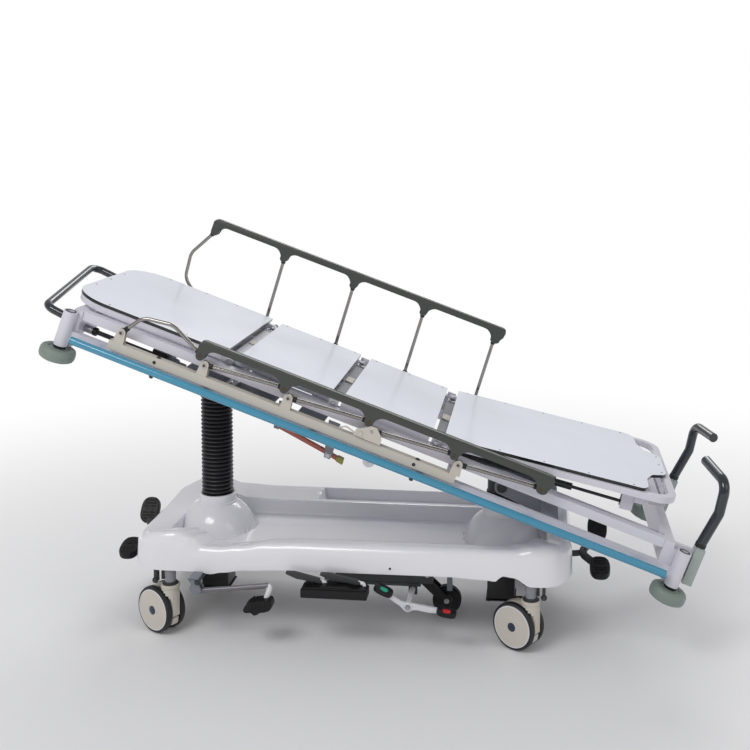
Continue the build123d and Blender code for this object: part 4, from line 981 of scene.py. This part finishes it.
crank = at_joint("crank_turn", DECK)
along = DECK @ Matrix.Translation((0, crank.y, crank.z)) @ TO_HEAD
make("crank_rod", lathe([(0, -652), (7.4, -652), (7.4, -450), (0, -450)], 28), "crank_rod", "knee_crank",
     along, replaces="knee_crank")
make("crank_sleeve", lathe([(9.2, -722), (12, -722), (13, -719), (13, -668), (12, -664), (9, -664)], 36),
     "bolt_steel", "knee_crank", along)
make("crank_ring", lathe([(7, -666), (12, -666), (13.5, -663), (13.5, -653), (11, -650), (7, -650)], 36),
     "bush_black", "knee_crank", along)
make("crank_nut", moved(hexagon_bolt((0, 0, 0), 12.5, 12), Matrix.Translation((0, 0, -736))), "bolt_steel",
     "knee_crank", along)
make("crank_box", joined(box(-459, -409, crank.y - 27, crank.y + 27, -83, -31),
                         box(-452, -416, crank.y - 29, crank.y + 29, -74, -40)), "spring_black", "deck",
     DECK, bevel=2)
make("crank_nut_tube", lathe([(0, -410), (14.5, -410), (14.5, -380), (12, -375), (0, -375)], 32),
     "bracket_paint", "deck", along)
bar = [(-34, -160), (-34, -172), (150, -197), (190, -204), (190, -191), (150, -184)]
make("tilt_bar", slab(bar, -160, -144, axis="y"), "bar_rust", "deck", DECK, bevel=1)
make("tilt_bar_end", slab([(186, -205), (210, -209), (208, -190), (186, -188)], -163, -141, axis="y"),
     "cap_green", "deck", DECK, bevel=1.5)
make("tilt_bar_bracket", slab([(146, -204), (166, -204), (170, -190), (160, -82), (120, -82)], -170, -164,
                              axis="y"), "bracket_paint", "deck", DECK, bevel=1.5)
make("tilt_bar_hanger", slab([(-40, -174), (-22, -174), (-16, -82), (-52, -82)], -170, -164, axis="y"),
     "bracket_paint", "deck", DECK, bevel=1.5)
make("tilt_bar_bolt", hexagon_bolt((156, -171, -192), 8, 6, TO_NEAR), "bolt_steel", "deck", DECK)

# ---------------------------------------------------------------- floor, light and camera
def fade_to_white(nodes, links, shader):
    """The floor runs into a plain white background a few metres away."""
    place = nodes.new("ShaderNodeTexCoord")
    distance = nodes.new("ShaderNodeVectorMath")
    distance.operation = "LENGTH"
    links.new(place.outputs["Object"], distance.inputs[0])
    far = nodes.new("ShaderNodeMapRange")
    far.interpolation_type = "SMOOTHSTEP"
    far.inputs["From Min"].default_value, far.inputs["From Max"].default_value = 1.0, 3.4
    links.new(distance.outputs["Value"], far.inputs["Value"])
    white = nodes.new("ShaderNodeEmission")
    white.inputs["Color"].default_value = (1, 1, 1, 1)
    mix = nodes.new("ShaderNodeMixShader")
    links.new(far.outputs["Result"], mix.inputs[0])
    links.new(shader.outputs[0], mix.inputs[1])
    links.new(white.outputs[0], mix.inputs[2])
    links.new(mix.outputs[0], nodes["Material Output"].inputs["Surface"])


def studio():
    bpy.ops.mesh.primitive_plane_add(size=60, location=(0, 0, 0))
    floor = bpy.context.object
    floor.name = "studio_floor"
    mat = bpy.data.materials.new("studio_floor")
    mat.use_nodes = True
    nodes, links = mat.node_tree.nodes, mat.node_tree.links
    shader = nodes["Principled BSDF"]
    shader.inputs["Roughness"].default_value = 0.8
    shader.inputs["Base Color"].default_value = (0.86, 0.86, 0.87, 1)
    fade_to_white(nodes, links, shader)
    floor.data.materials.append(mat)
    world = bpy.data.worlds.new("studio")
    bpy.context.scene.world = world
    world.use_nodes = True
    background = world.node_tree.nodes["Background"]
    background.inputs["Color"].default_value = (1.0, 1.0, 1.0, 1)
    light_path = world.node_tree.nodes.new("ShaderNodeLightPath")
    strength = world.node_tree.nodes.new("ShaderNodeMapRange")
    strength.inputs["To Min"].default_value, strength.inputs["To Max"].default_value = 0.5, 1.0
    world.node_tree.links.new(light_path.outputs["Is Camera Ray"], strength.inputs["Value"])
    world.node_tree.links.new(strength.outputs["Result"], background.inputs["Strength"])

    def area(name, place, aim, size, power):
        light = bpy.data.lights.new(name, "AREA")
        light.shape = "RECTANGLE"
        light.size, light.size_y = size
        light.energy = power
        obj = bpy.data.objects.new(name, light)
        obj.location = place
        obj.rotation_euler = (Vector(aim) - Vector(place)).to_track_quat("-Z", "Y").to_euler()
        bpy.context.scene.collection.objects.link(obj)

    area("key", (-1.8, -3.2, 4.2), (0, 0, 0.5), (2.4, 1.6), 78)
    area("fill", (3.4, -2.4, 2.6), (0, 0, 0.5), (2.0, 2.0), 15)
    area("back", (0.5, 3.4, 3.4), (0, 0, 0.6), (3.0, 1.5), 60)


def camera():
    """The photograph's view: a little above the deck, turned slightly to the left."""
    yaw, pitch, roll = radians(-5.132), radians(5.448), radians(0.423)
    place = Vector((0.5008, -3.4988, 1.6051))
    forward = Vector((sin(yaw) * cos(pitch), cos(yaw) * cos(pitch), -sin(pitch)))
    right = Vector((cos(yaw), -sin(yaw), 0))
    up = right.cross(forward)
    x_axis = right * cos(roll) + up * sin(roll)
    y_axis = up * cos(roll) - right * sin(roll)
    data = bpy.data.cameras.new("camera")
    data.sensor_width = 36
    data.lens = 51.517
    data.shift_x, data.shift_y = -0.0879, -0.1885
    data.clip_end = 200
    obj = bpy.data.objects.new("camera", data)
    turn = Matrix((x_axis, y_axis, -forward)).transposed().to_4x4()
    obj.matrix_world = Matrix.Translation(place) @ turn
    bpy.context.scene.collection.objects.link(obj)
    bpy.context.scene.camera = obj


studio()
camera()
bpy.context.scene.view_settings.view_transform = "Standard"
